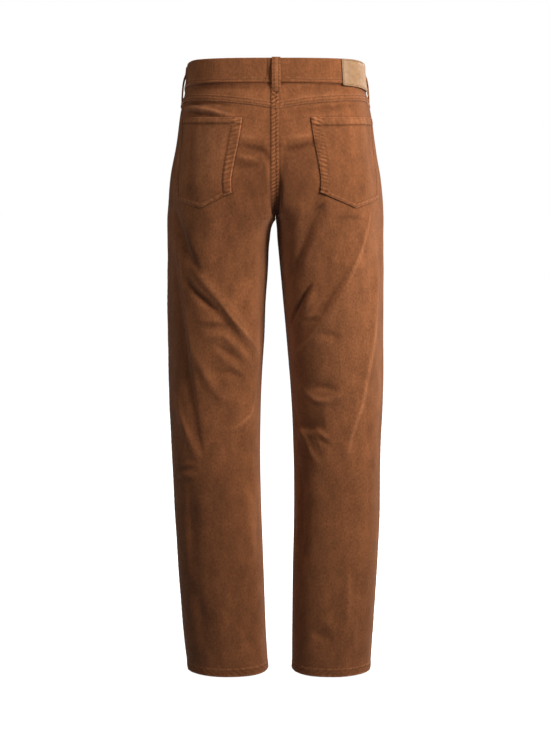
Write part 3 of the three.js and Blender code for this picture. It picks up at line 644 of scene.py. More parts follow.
# ---- Meshes ----
def add_mesh(name, points, faces, material, uv=None, wear_and_shade=None):
    """A mesh object at the origin from millimetre points and four-cornered faces, turned to face outwards."""
    corners = points[faces]
    diagonal = np.cross(corners[:, 2] - corners[:, 0], corners[:, 3] - corners[:, 1])
    volume = (diagonal * corners.mean(axis=1)).sum()
    if volume < 0:
        faces = faces[:, ::-1]
    faces = np.ascontiguousarray(faces, np.int32)
    mesh = bpy.data.meshes.new(name)
    mesh.vertices.add(len(points))
    mesh.vertices.foreach_set("co", (points * MM).astype(np.float32).ravel())
    mesh.loops.add(faces.size)
    mesh.loops.foreach_set("vertex_index", faces.ravel())
    mesh.polygons.add(len(faces))
    mesh.polygons.foreach_set("loop_start", np.arange(0, faces.size, 4, dtype=np.int32))
    mesh.polygons.foreach_set("use_smooth", np.ones(len(faces), bool))
    mesh.update(calc_edges=True)
    if uv is not None:
        layer = mesh.uv_layers.new(name="cloth")
        layer.data.foreach_set("uv", (uv[faces.ravel()] * MM).astype(np.float32).ravel())
    # wear_and_shade: lighter where the pile is rubbed or a highlight is painted, darker where the cloth is
    # worn dark or shade is painted
    if wear_and_shade is not None:
        attribute = mesh.attributes.new("wear_and_shade", "FLOAT", "POINT")
        attribute.data.foreach_set("value", wear_and_shade.astype(np.float32))
    mesh.materials.append(material)
    piece = bpy.data.objects.new(name, mesh)
    bpy.context.scene.collection.objects.link(piece)
    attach(piece, "root")
    return piece


def grid_faces(rows, columns, first=0, close_columns=False):
    """Faces between neighbouring points of a grid, joined round where it closes on itself."""
    index = first + np.arange(rows * columns).reshape(rows, columns)
    if close_columns:
        index = np.concatenate([index, index[:, :1]], axis=1)
    quads = (index[:-1, :-1], index[1:, :-1], index[1:, 1:], index[:-1, 1:])
    return np.stack(quads, axis=-1).reshape(-1, 4)


def tube_faces(rows, columns):
    """Faces of a tube with an even number of columns, its ends closed by strips from side to side."""
    near = np.arange(columns // 2)
    far = columns - 1 - near
    cap = np.stack([near[:-1], near[1:], far[1:], far[:-1]], axis=-1)
    wall = grid_faces(rows, columns, close_columns=True)
    return np.concatenate([wall, cap, (rows - 1) * columns + cap[:, ::-1]])


def add_tube(name, points, material, uv=None, wear_and_shade=None):
    """A closed tube through a grid of points, a row for each ring."""
    if uv is not None:
        uv, wear_and_shade = uv.reshape(-1, 2), wear_and_shade.ravel()
    return add_mesh(name, points.reshape(-1, 3), tube_faces(*points.shape[:2]), material, uv, wear_and_shade)


def add_shell(name, outer, inner, material, uv, wear_and_shade):
    """A closed wall of cloth between two grids of points that match, with its rim joined all round."""
    rows, columns = outer.shape[:2]
    count = rows * columns
    index = np.arange(count).reshape(rows, columns)
    rim = np.concatenate([index[0], index[1:, -1], index[-1, -2::-1], index[-2:0:-1, 0]])
    following = np.roll(rim, -1)
    faces = np.concatenate(
        [
            grid_faces(rows, columns),
            grid_faces(rows, columns, count)[:, ::-1],
            np.stack([rim, following, following + count, rim + count], axis=-1),
        ]
    )
    points = np.concatenate([outer.reshape(-1, 3), inner.reshape(-1, 3)])
    uv = np.tile(uv.reshape(-1, 2), (2, 1))
    wear_and_shade = np.concatenate([wear_and_shade.ravel(), np.zeros(count)])
    return add_mesh(name, points, faces, material, uv, wear_and_shade)


# ---- Materials ----
def start_material(name, colour, roughness, **sockets):
    """A Principled material with its uniform values set on the shader's own sockets."""
    material = bpy.data.materials.new(name)
    material.use_nodes = True
    shader = material.node_tree.nodes["Principled BSDF"]
    shader.inputs["Base Color"].default_value = (*colour, 1)
    shader.inputs["Roughness"].default_value = roughness
    for socket, value in sockets.items():
        shader.inputs[socket.replace("_", " ")].default_value = value
    return material, material.node_tree.nodes, material.node_tree.links, shader


def math_node(nodes, links, operation, *values):
    """One Math node whose inputs are sockets or plain numbers."""
    node = nodes.new("ShaderNodeMath")
    node.operation = operation
    for socket, value in zip(node.inputs, values):
        if isinstance(value, (int, float)):
            socket.default_value = value
        else:
            links.new(value, socket)
    return node.outputs[0]


def noise_node(nodes, links, vector, scale, detail=2.0, stretch=(1, 1, 1), roughness=0.5):
    """A noise texture from 0 to 1 over a stretched coordinate."""
    mapping = nodes.new("ShaderNodeMapping")
    mapping.inputs["Scale"].default_value = stretch
    links.new(vector, mapping.inputs["Vector"])
    noise = nodes.new("ShaderNodeTexNoise")
    noise.inputs["Scale"].default_value = scale
    noise.inputs["Detail"].default_value = detail
    noise.inputs["Roughness"].default_value = roughness
    links.new(mapping.outputs[0], noise.inputs["Vector"])
    return noise.outputs["Fac"]


def tint_node(nodes, links, factor, dark, light, low=0.3, high=0.7):
    """A colour between dark and light as a factor goes from low to high."""
    ramp = nodes.new("ShaderNodeValToRGB")
    ramp.color_ramp.elements[0].position, ramp.color_ramp.elements[1].position = low, high
    ramp.color_ramp.elements[0].color, ramp.color_ramp.elements[1].color = (*dark, 1), (*light, 1)
    links.new(factor, ramp.inputs["Fac"])
    return ramp.outputs["Color"]


def blend_node(nodes, links, mode, factor, first, second):
    """One colour over another, by a blend mode."""
    node = nodes.new("ShaderNodeMix")
    node.data_type, node.blend_type = "RGBA", mode
    for socket, value in ((node.inputs[0], factor), (node.inputs[6], first), (node.inputs[7], second)):
        if isinstance(value, tuple):
            socket.default_value = (*value, 1)
        elif isinstance(value, (int, float)):
            socket.default_value = value
        else:
            links.new(value, socket)
    return node.outputs[2]


def cloth_grain(nodes):
    """A piece's own flat coordinates in metres, across and along its grain."""
    uv = nodes.new("ShaderNodeUVMap")
    uv.uv_map = "cloth"
    return uv.outputs["UV"]


def wear_and_shade_value(nodes):
    """How much lighter each point is, above zero, from rubbed pile and painted highlights, or darker, below
    zero, from painted shade, worn dark places and dark stitching.
    """
    wear_and_shade = nodes.new("ShaderNodeAttribute")
    wear_and_shade.attribute_name = "wear_and_shade"
    return wear_and_shade.outputs["Fac"]


def raise_surface(nodes, links, shader, height, strength, distance):
    """Bump that lifts the shaded surface by a height times a distance in metres."""
    bump = nodes.new("ShaderNodeBump")
    bump.inputs["Strength"].default_value = strength
    bump.inputs["Distance"].default_value = distance
    links.new(height, bump.inputs["Height"])
    links.new(bump.outputs[0], shader.inputs["Normal"])


def corduroy_material():
    """Brown needlecord: ribs along the grain, a mottled brushed nap, painted shade in the furrows and rubbed
    high places with painted highlights.

    The ribs rise as (0.5 + 0.5 sin(2 pi u / wale))^0.6, their valleys painted darker as shade. Noises of four
    sizes, from single tufts to clouds a hand wide, colour the nap, and the wear-and-shade attribute tints it
    from dark, through no
    change at zero, to a pale dust: dark for painted shade and dark stitching, pale for rubbed pile and
    painted highlights.
    """
    material, nodes, links, shader = start_material(
        "corduroy", (0.2, 0.08, 0.035), 0.85, Sheen_Weight=0.8, Sheen_Roughness=0.4, Specular_IOR_Level=0.07
    )
    shader.inputs["Sheen Tint"].default_value = (1.0, 0.54, 0.34, 1)
    grain = cloth_grain(nodes)
    parts = nodes.new("ShaderNodeSeparateXYZ")
    links.new(grain, parts.inputs[0])
    turns = math_node(nodes, links, "MULTIPLY", parts.outputs["X"], 2 * np.pi / (WALE * MM))
    rib = math_node(nodes, links, "SINE", turns)
    rib = math_node(nodes, links, "MULTIPLY_ADD", rib, 0.5, 0.5)
    rib = math_node(nodes, links, "POWER", rib, 0.6)
    pile = noise_node(nodes, links, grain, 900, 3, (1, 0.5, 1))
    speck = noise_node(nodes, links, grain, 330, 3, (1, 0.6, 1), 0.7)
    mottle = noise_node(nodes, links, grain, 48, 5, (1, 0.45, 1), 0.7)
    cloud = noise_node(nodes, links, grain, 11, 4, (1, 0.9, 1), 0.6)
    colour = tint_node(nodes, links, speck, (0.185, 0.063, 0.022), (0.31, 0.108, 0.04))
    # the wear-and-shade attribute: below zero painted shade and worn dark places, above zero rubbed pile and
    # painted highlights
    rubbed_and_shaded = math_node(nodes, links, "MULTIPLY_ADD", wear_and_shade_value(nodes), 0.5, 0.5)
    shade_and_dust = tint_node(nodes, links, rubbed_and_shaded, (0.45, 0.42, 0.4), (1.7, 1.85, 2.1), 0.0, 1.0)
    shade_and_dust.node.color_ramp.elements.new(0.5).color = (1, 1, 1, 1)
    tints = (
        tint_node(nodes, links, mottle, (0.76,) * 3, (1.26,) * 3),
        tint_node(nodes, links, cloud, (0.84,) * 3, (1.16,) * 3),
        # the ribs' valleys painted darker, as shade
        tint_node(nodes, links, rib, (0.72,) * 3, (1.04,) * 3, 0.0, 0.8),
        shade_and_dust,
    )
    for tint in tints:
        colour = blend_node(nodes, links, "MULTIPLY", 1.0, colour, tint)
    links.new(colour, shader.inputs["Base Color"])
    height = math_node(nodes, links, "MULTIPLY_ADD", pile, 0.5, rib)
    raise_surface(nodes, links, shader, height, 0.6, 0.0004)
    return material


def leather_material():
    """Pale tan leather: pores and fine creases, cloudy colour and edges that have darkened with its wear."""
    material, nodes, links, shader = start_material(
        "leather", (0.55, 0.33, 0.17), 0.55, Specular_IOR_Level=0.35
    )
    grain = cloth_grain(nodes)
    cloud = noise_node(nodes, links, grain, 90, 4, (1, 1.3, 1), 0.65)
    colour = tint_node(nodes, links, cloud, (0.26, 0.135, 0.057), (0.36, 0.2, 0.09))
    dark = math_node(nodes, links, "MULTIPLY", wear_and_shade_value(nodes), -0.75)
    colour = blend_node(nodes, links, "MIX", dark, colour, (0.2, 0.1, 0.045))
    links.new(colour, shader.inputs["Base Color"])
    pores = nodes.new("ShaderNodeTexVoronoi")
    pores.inputs["Scale"].default_value = 900
    links.new(grain, pores.inputs["Vector"])
    creases = noise_node(nodes, links, grain, 260, 4, (1, 0.4, 1), 0.7)
    height = math_node(nodes, links, "MULTIPLY_ADD", pores.outputs["Distance"], 0.3, creases)
    raise_surface(nodes, links, shader, height, 0.45, 0.0004)
    links.new(tint_node(nodes, links, creases, (0.48,) * 3, (0.68,) * 3), shader.inputs["Roughness"])
    return material


def thread_material():
    """Matt cotton thread, with its twist as fine slanting ridges."""
    base = np.array((0.25, 0.115, 0.052))
    material, nodes, links, shader = start_material("thread", base, 0.8, Specular_IOR_Level=0.15)
    spot = nodes.new("ShaderNodeTexCoord")
    twist = nodes.new("ShaderNodeTexWave")
    twist.inputs["Scale"].default_value = 900
    links.new(spot.outputs["Object"], twist.inputs["Vector"])
    # the twist's grooves painted darker, as shade
    colour = tint_node(nodes, links, twist.outputs["Fac"], 0.8 * base, 1.15 * base)
    links.new(colour, shader.inputs["Base Color"])
    raise_surface(nodes, links, shader, twist.outputs["Fac"], 0.3, 0.0001)
    return material


def brass_material():
    """Antique brass: a patchy patina of darker and lighter colour, with fine scratches in its roughness."""
    material, nodes, links, shader = start_material("brass", (0.36, 0.24, 0.11), 0.35, Metallic=0.95)
    spot = nodes.new("ShaderNodeTexCoord").outputs["Object"]
    patina = noise_node(nodes, links, spot, 420, 4)
    colour = tint_node(nodes, links, patina, (0.2, 0.13, 0.06), (0.5, 0.35, 0.17))
    links.new(colour, shader.inputs["Base Color"])
    scratches = noise_node(nodes, links, spot, 900, 2, (1, 0.1, 1))
    links.new(tint_node(nodes, links, scratches, (0.28,) * 3, (0.55,) * 3), shader.inputs["Roughness"])
    return material


CORDUROY = corduroy_material()
LEATHER = leather_material()
THREAD = thread_material()
BRASS = brass_material()


# ---- Sewing ----
def rope(along, across, pitch, slant, seed, loose=2.2):
    """Puckers along a seam, from -1 to 1: slanting waves of uneven pitch and strength."""
    wander = drift(along / (3.1 * pitch), 0.5, seed)
    strength = 0.62 + 0.38 * drift(along / (2.3 * pitch), 7.5, seed)
    return strength * np.sin(2 * np.pi * (along + slant * across) / pitch + loose * wander)


def groove(distance, width=1.0):
    """The dent of a row of stitches: 1 along its line, falling off as a bell."""
    return bell(distance, width)


def edge_drop(distance, radius):
    """How far a face drops at a folded edge of a given radius: r (1 - sqrt(1 - (1 - d/r)^2))."""
    part = np.clip(1 - np.maximum(distance, 0) / radius, 0, 1)
    return radius * (1 - np.sqrt(1 - part**2))


stitches = []  # every row's points, normals and directions, joined into one mesh at the end


def sew_along(points, normals, pitch=3.0, sink=0.25):
    """Lays a row of stitches along a line of points, one each pitch, sunk a little into the cloth."""
    step = np.linalg.norm(np.diff(points, axis=0), axis=1)
    along = np.concatenate([[0], np.cumsum(step)])
    centres = np.arange(pitch / 2, along[-1], pitch)
    half = 0.39 * pitch  # a stitch fills a little less than its pitch

    def at(places, values):
        """Values along the line at some distances from its start."""
        return np.stack([np.interp(places, along, values[:, k]) for k in range(3)], axis=-1)

    start, end = at(centres - half, points), at(centres + half, points)
    normal = at(centres, normals)
    normal = normal / np.linalg.norm(normal, axis=1, keepdims=True)
    stitches.append((start - sink * normal, end - sink * normal, normal))


def sew(side, w, z, lift, pitch=3.0, sink=0.25):
    """A row of stitches along (w, z) on the cloth."""
    sew_along(*place(side, w, z, lift), pitch, sink)


def add_stitches(name, radius=0.42, arch=0.25, sides=6):
    """All stitches as one mesh: each an arched tube, thick in the middle, whose ends dive into the cloth."""
    start = np.concatenate([row[0] for row in stitches])
    end = np.concatenate([row[1] for row in stitches])
    normal = np.concatenate([row[2] for row in stitches])
    along = end - start
    beside = np.cross(along, normal)
    beside = beside / np.linalg.norm(beside, axis=1, keepdims=True)
    t = np.array([0, 0.12, 0.5, 0.88, 1])
    rise = np.array([-0.45, 0.05, arch, 0.05, -0.45])
    thick = radius * np.array([0.25, 0.85, 1, 0.85, 0.25])
    turn = np.linspace(0, 2 * np.pi, sides, endpoint=False)
    middle = start[:, None] + along[:, None] * t[:, None] + normal[:, None] * rise[:, None]
    ring = (
        beside[:, None, None] * (thick[:, None] * np.cos(turn))[..., None]
        + normal[:, None, None] * (thick[:, None] * np.sin(turn))[..., None]
    )
    points = (middle[:, :, None] + ring).reshape(-1, 3)
    faces = grid_faces(len(t), sides, close_columns=True)
    caps = []
    for base, order in ((0, 1), ((len(t) - 1) * sides, -1)):
        loop = base + np.arange(sides)[::order]
        caps += [[loop[0], loop[1], loop[2], loop[3]], [loop[0], loop[3], loop[4], loop[5]]]
    faces = np.concatenate([faces, np.array(caps)])
    every = faces[None] + (np.arange(len(start)) * len(t) * sides)[:, None, None]
    piece = add_mesh(name, points, every.reshape(-1, 4), THREAD)
    return piece


# ---- Grids of the panels ----
def spaced(total, step, fine, start=0.0, end=0.0):
    """Places from 0 to total: fine steps within start and end of the two ends, and wider steps between."""
    first = np.linspace(0, start, round(start / fine), endpoint=False) if start else np.array([])
    last = np.linspace(total - end, total, round(end / fine) + 1) if end else np.array([total])
    between = np.linspace(start, total - end, round((total - start - end) / step), endpoint=False)
    return np.concatenate([first, between, last])


def yoke_line(share):
    """Height of the yoke seam at a share of the way round the back: it falls faster towards the centre."""
    return -67 - 17 * share**2.6


SWING = (-330, -150)  # between these heights a ring's end swings from the centre seam to the inseam
STEADY = 2 / 3  # share of the columns that keep even steps there


def column_distance(side, face, share, z):
    """Distance round a face of a column: steady steps near the crotch, and the last columns take the rest."""
    length = length_round(side, face, z)
    low, high = (length_round(side, face, level) for level in SWING)
    swinging = (z > SWING[0]) & (z < SWING[1])
    calm = np.where(swinging, mix(low, high, smooth(*SWING, z)), length)
    outer = calm * share
    inner = mix(calm * STEADY, length, (share - STEADY) / (1 - STEADY))
    return np.where(share <= STEADY, outer, inner)


def panel_grid(side, face, top):
    """(w, z) of a leg panel's points; rows crowd towards the crotch at the centre seam."""
    step = {"back": 2.7, "front": 3.6}[face]
    columns = spaced(285, step, 1.1, 6, 12)[None, :] / 285
    upper = np.linspace(0, 1, {"back": 130, "front": 64}[face])[:, None]
    crowd = 1 + 0.6 * smooth(0.6, 1, columns)
    body = mix(top(columns), CROTCH_Z, 1 - (1 - upper) ** crowd)
    leg = spaced(CROTCH_Z - HEM_Z, {"back": 3.1, "front": 3.7}[face], 0.8, 0, HEM_TURN + 3)[1:, None]
    z = np.concatenate([body, CROTCH_Z - leg + 0 * columns])
    distance = np.maximum(column_distance(side, face, columns, z), JOIN)
    return distance, z


def grain_across(side, face, distance, z):
    """Distance across the flat cut from the line of its grain, which hangs down the middle of the leg."""
    level = np.minimum(z, CROTCH_Z)
    middle = length_round(side, face, level) / 2
    curves = CURVES[side]
    return distance - middle + 0.6 * (curves["outer"](level) - curves["outer"](z))


INSEAM_ROWS = (1.8, 7.0)  # distances from the inseam of its rows of stitches
HEM_STITCH = HEM_TURN - 2.2  # height of the hem's row of stitches above the hem


def long_seams(side, face, distance, z):
    """Height, and wear with painted light and shade, that the side seam, centre seam, inseam and hem add to a
    panel's outer face.
    """
    edge = length_round(side, face, z) - distance
    above = smooth(CROTCH_Z - 4, CROTCH_Z + 4, z)
    up = z - HEM_Z
    seed = 60 + (side == "right")
    # side seam: pressed open, slightly sunk and puckered
    side_pucker = rope(z, distance, 12, 0.4, seed) * bell(distance, 9)
    height = -0.7 * bell(distance, 1.6) + 0.28 * side_pucker
    # puckers painted lighter on their crests and darker between, over rubbed pile; a dark line along the seam
    wear_and_shade = 0.22 * side_pucker + 0.35 * bell(distance - 2.5, 1.5) - 0.8 * bell(distance, 1.0)
    # inseam: felled on the back panel, plain on the front
    felled = 1.0 if face == "back" else 0.0
    band = plateau(edge, -5, 8, 1.5) * (1 - above) * felled
    inner_pucker = rope(z, edge, 8.5, 0.5, seed + 2) * plateau(edge, 0, 8, 4) * (1 - above)
    height = height + 0.6 * band + 0.22 * inner_pucker - 0.7 * bell(edge, 1.4) * (1 - above)
    rows = groove(edge - INSEAM_ROWS[0]) + groove(edge - INSEAM_ROWS[1])
    height = height - 0.35 * felled * rows * (1 - above)
    # the puckers painted lighter and darker, and the felled band's edge lighter: rubbed pile with painted
    # light
    wear_and_shade = wear_and_shade + 0.25 * inner_pucker + 0.25 * felled * bell(edge - 8.4, 1.2) * (1 - above)
    # hem: a turned band, twisted a little by its stitching
    hem = 1 - smooth(HEM_TURN - 1.5, HEM_TURN, up)
    twist = 0.6 * rope(distance, up, 13, 1.1, seed + 4) * plateau(up, 1, HEM_TURN, 4)
    height = height + 0.8 * hem + 0.5 * twist - 0.7 * groove(up - HEM_STITCH, 1.1)
    height = height - edge_drop(up, 1.6)
    # the twist and the folded edge lighter, rubbed and painted highlight; the stitch row's dent painted
    # darker as shade
    wear_and_shade = wear_and_shade + 0.4 * twist + 0.8 * bell(up - 1.4, 2.4) - 0.8 * groove(up - HEM_STITCH, 1.2)
    wear_and_shade = wear_and_shade + 0.6 * bell(up - HEM_TURN - 0.6, 1.5)
    return height, wear_and_shade


CENTRE_BAND = {"right": 4.8, "left": 7.0}  # how far the felled centre seam reaches on each side


def centre_back_seam(side, distance, z):
    """The felled seam down the seat: a raised band with two columns of slanting puckers, and painted shade
    beside it and down the seat's valley.
    """
    edge = length_round(side, "back", z) - distance
    above = smooth(CROTCH_Z - 4, CROTCH_Z + 4, z)
    band = CENTRE_BAND[side]
    crossing = bell(z - yoke_line(1), 5)
    strength = (1 - 0.85 * crossing) * (1 - 0.8 * smooth(-205, -245, z))
    slant = {"right": -0.6, "left": 0.6}[side]
    puckers = signed_power(rope(z, edge, 6.4, slant, 71, 1.1), 0.7)
    puckers = puckers * plateau(edge, 0.8, band - 0.8, 1.2) * strength
    height = 1.2 * plateau(edge, -5, band - 0.4, 1.3) + 0.8 * puckers - 0.5 * bell(edge, 1.1)
    # puckers painted lighter on their crests and darker between, over rubbed pile; a dark seam line and a
    # painted shaded line just beside the band
    wear_and_shade = 1.2 * puckers - 0.4 * bell(edge, 1) - 0.35 * bell(edge - band - 1.2, 1.6)
    # painted shade on the flanks lower down, the right one more widely, then down the right side of the
    # seat's valley and into the crotch
    flank = smooth(-95, -150, z) * {"right": 0.35, "left": 0.45}[side]
    wear_and_shade = wear_and_shade - flank * bell(edge - band - 1.6, 1.8)
    if side == "right":
        wear_and_shade = wear_and_shade - 0.8 * smooth(-165, -215, z) * bell(edge - band - 4.5, 5)
    wear_and_shade = wear_and_shade - 0.75 * smooth(-196, -250, z) * (1 - smooth(5, 13, edge))
    return height * above, wear_and_shade * above


FLY = {"width": 38, "bottom": -196, "turn": 40}  # the J of stitches on the left front


def fly_edge(side, distance, z):
    """How far inside the fly's J a point is: its width less the distance, rounding in at the bottom."""
    edge = length_round(side, "front", z) - distance
    turn = np.clip((FLY["bottom"] + FLY["turn"] - z) / FLY["turn"], 0, 1)
    width = FLY["width"] * np.sqrt(np.clip(1 - turn**2, 0, 1))
    return width - edge, edge


def centre_front_seam(side, distance, z):
    """The fly: the left front laps over as a pressed double layer, and the right front lies under it."""
    inside, edge = fly_edge(side, distance, z)
    above = smooth(CROTCH_Z - 4, CROTCH_Z + 4, z)
    open_part = smooth(FLY["bottom"] - 6, FLY["bottom"] + 6, z)
    seam = -0.5 * bell(edge, 1.5) * above * (1 - open_part)
    if side == "left":
        lap = smooth(-1.5, 1, inside) * smooth(FLY["bottom"] - 4, FLY["bottom"], z)
        height = 0.7 * lap - 0.5 * groove(inside) - edge_drop(edge, 1.4) * open_part + seam
        return height, 0.3 * bell(edge - 1, 1.5) * open_part + 0.15 * bell(inside + 1.5, 1.2)
    return seam - 0.6 * bell(edge, 4) * open_part, 0 * edge


def wall_thickness(z):
    """A panel's thickness: the hem is turned up, so it is thicker there."""
    return np.where(z <= HEM_Z + HEM_TURN, HEM_THICK, CLOTH)


def add_cloth(name, side, w, z, lift, height, thickness, wear_and_shade):
    """A shell of cloth round the body at (w, z): its inner face lies a thickness in from lift.

    Its outer face is lift plus the height that seams and stitches give it.
    """
    face = "back" if w.max() > 0 else "front"
    outer, normals = place(side, w, z, lift + height)
    inner = outer - normals * (height + thickness)[..., None]
    uv = np.stack([grain_across(side, face, np.abs(w), z), z + 0 * w], axis=-1)
    return add_shell(name, outer, inner, CORDUROY, uv, wear_and_shade + rubbed_and_shaded(side, w, z))


def finish_cloth(piece, node):
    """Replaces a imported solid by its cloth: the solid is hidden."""
    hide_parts(node)
    return piece


def back_details(side, distance, z):
    """Height and painted shade of a back panel: the centre seam, the dent under the yoke with painted shade
    along it, and the pocket's painted shadow.
    """
    share = distance / length_round(side, "back", z)
    below = yoke_line(share) - z
    towards_side = 1 - smooth(0.2, 0.5, share)
    height, wear_and_shade = centre_back_seam(side, distance, z)
    height = height - 1.0 * bell(below, 2)
    # painted shade along the dent under the yoke seam, deeper towards the side
    wear_and_shade = wear_and_shade - (0.35 + 0.35 * towards_side + 0.2 * drift(distance / 30, 0.5, 47)) * bell(below, 2.2)
    return height, wear_and_shade - 0.75 * pocket_shadow(side, distance, z)


def lapped_end(side, face, distance, z):
    """How far the left front rises under the waistband's lapped end."""
    if (side, face) != ("left", "front"):
        return 0 * distance
    share = distance / length_round(side, face, z)
    return LAP_RAISE * smooth(*LAP_SHARE, share) * smooth(-85, WAIST_Z, z)


PANELS = {
    # the way a face's distances run, its top, its details, its flat size, its area and what it hangs from
    "back": (1, lambda share: yoke_line(share) - JOIN, back_details, (0.33, 1.04), 0.255, "yoke"),
    "front": (-1, lambda share: BAND_EDGE + 0 * share, centre_front_seam, (0.30, 1.08), 0.25, "waistband"),
}


def add_panel(side, face):
    """One leg panel from the yoke or waist to the hem, seams and hem worked into its outer face."""
    sign, top, details, flat, area, hangs_from = PANELS[face]
    distance, z = panel_grid(side, face, top)
    height, wear_and_shade = long_seams(side, face, distance, z)
    own_height, own_wear_and_shade = details(side, distance, z)
    height, wear_and_shade = height + own_height, wear_and_shade + own_wear_and_shade
    raised = lapped_end(side, face, distance, z)
    name = f"corduroy_{face}_{side}"
    piece = add_cloth(name, side, sign * distance, z, raised, height, wall_thickness(z), wear_and_shade)
    return finish_cloth(piece, f"{face}_{side}")


YOKE_ROWS = (2.2, 8)  # heights of the rows of stitches above the yoke seam


def add_yoke(side):
    """The back yoke, whose lower edge is felled over the seat in a double-stitched band."""
    columns = spaced(250, 3.6, 1.1, 6, 12)[None, :] / 250
    down = spaced(30, 2.4, 0.8, 1.6, 13)[:, None] / 30
    z = mix(BAND_EDGE, yoke_line(columns) + JOIN, down)
    distance = np.maximum(columns * length_round(side, "back", z), JOIN)
    share = distance / length_round(side, "back", z)
    up = z - yoke_line(share)
    puckers = rope(distance, up, 9.5, 0.9, 81 + (side == "right")) * plateau(up, 1.5, 9, 2.5)
    height = 1.2 * plateau(up, -5, 9.5, 1.8) + 0.35 * puckers - edge_drop(up, 1.3)
    rows = groove(up - YOKE_ROWS[0]) + groove(up - YOKE_ROWS[1])
    height = height - 0.7 * rows + 0.4 * bell(up - 5.2, 1.8)
    # puckers and folded edges lighter, partly rubbed pile and partly painted highlight; the stitch rows'
    # dents painted darker as shade
    wear_and_shade = 0.3 * puckers + 0.45 * bell(up - 0.8, 1.2) + 0.3 * bell(up - 10, 1.3) + 0.25 * bell(up - 5, 2)
    wear_and_shade = wear_and_shade - 0.5 * groove(up - YOKE_ROWS[1]) - 0.4 * groove(up - 2.4)
    # painted shade just under the waistband
    wear_and_shade = wear_and_shade - 0.9 * bell(WAIST_Z - z, 2.4)
    centre_height, centre_wear_and_shade = centre_back_seam(side, distance, z)
    height = height - 0.6 * bell(distance, 1.6) + centre_height
    wear_and_shade = wear_and_shade - 0.6 * bell(distance, 1) + centre_wear_and_shade
    piece = add_cloth(f"corduroy_yoke_{side}", side, distance, z, 0.0, height, CLOTH, wear_and_shade)
    line = np.linspace(0.01, 0.99, 300)
    for row in YOKE_ROWS:
        level = yoke_line(line) + row
        sew(side, line * length_round(side, "back", level), level, 0.65)
    return finish_cloth(piece, f"yoke_{side}")


# ---- Patch pockets ----
POCKET_THICK = 1.4
POCKET_LIFT = SEAM_GAP + POCKET_THICK
POCKET_BAND_REACH = (0, 120)  # distances below the mouth between which the inner edge's band tapers
POCKET_SEED = {"left": 90, "right": 100}


def pocket_edges(side, z):
    """Distances round the back of a pocket's outer and inner edge at a height; the inner one is scalloped."""
    sizes = POCKETS[side]
    t = np.clip((z - POCKET_TOP_Z[0]) / (POCKET_BOTTOM_Z[0] - POCKET_TOP_Z[0]), 0, 1)
    scallop = 0.8 * rope(z, 0, sizes["pitch"], 0, POCKET_SEED[side]) * plateau(t, 0.06, 0.94, 0.06)
    return mix(sizes["top"][0], sizes["bottom"][0], t), mix(sizes["top"][1], sizes["bottom"][1], t) + scallop


def pocket_bottom(across):
    """Height of the pocket's pointed lower edge at a share of the way across it."""
    return np.interp(across, (0, 0.5, 1), POCKET_BOTTOM_Z)


def pocket_shadow(side, distance, z):
    """The shaded line on the seat just outside a pocket's edges, 1 at its edge."""
    outer, inner = pocket_edges(side, z)
    across = np.clip((distance - outer) / (inner - outer), 0, 1)
    beside = np.maximum(outer - distance, distance - inner)
    below, above = pocket_bottom(across) - z, z - mix(*POCKET_TOP_Z, across)
    outside = np.maximum(np.maximum(beside, below), above)
    return bell(np.maximum(outside, 0), 2.0) * (1 - 0.6 * smooth(-2, 2, above))


def pocket_place(side, across, down):
    """(w, z) of a point of the pocket from shares across and down it."""
    z = mix(mix(*POCKET_TOP_Z, across), pocket_bottom(across), down)
    outer, inner = pocket_edges(side, z)
    return mix(outer, inner, across), z


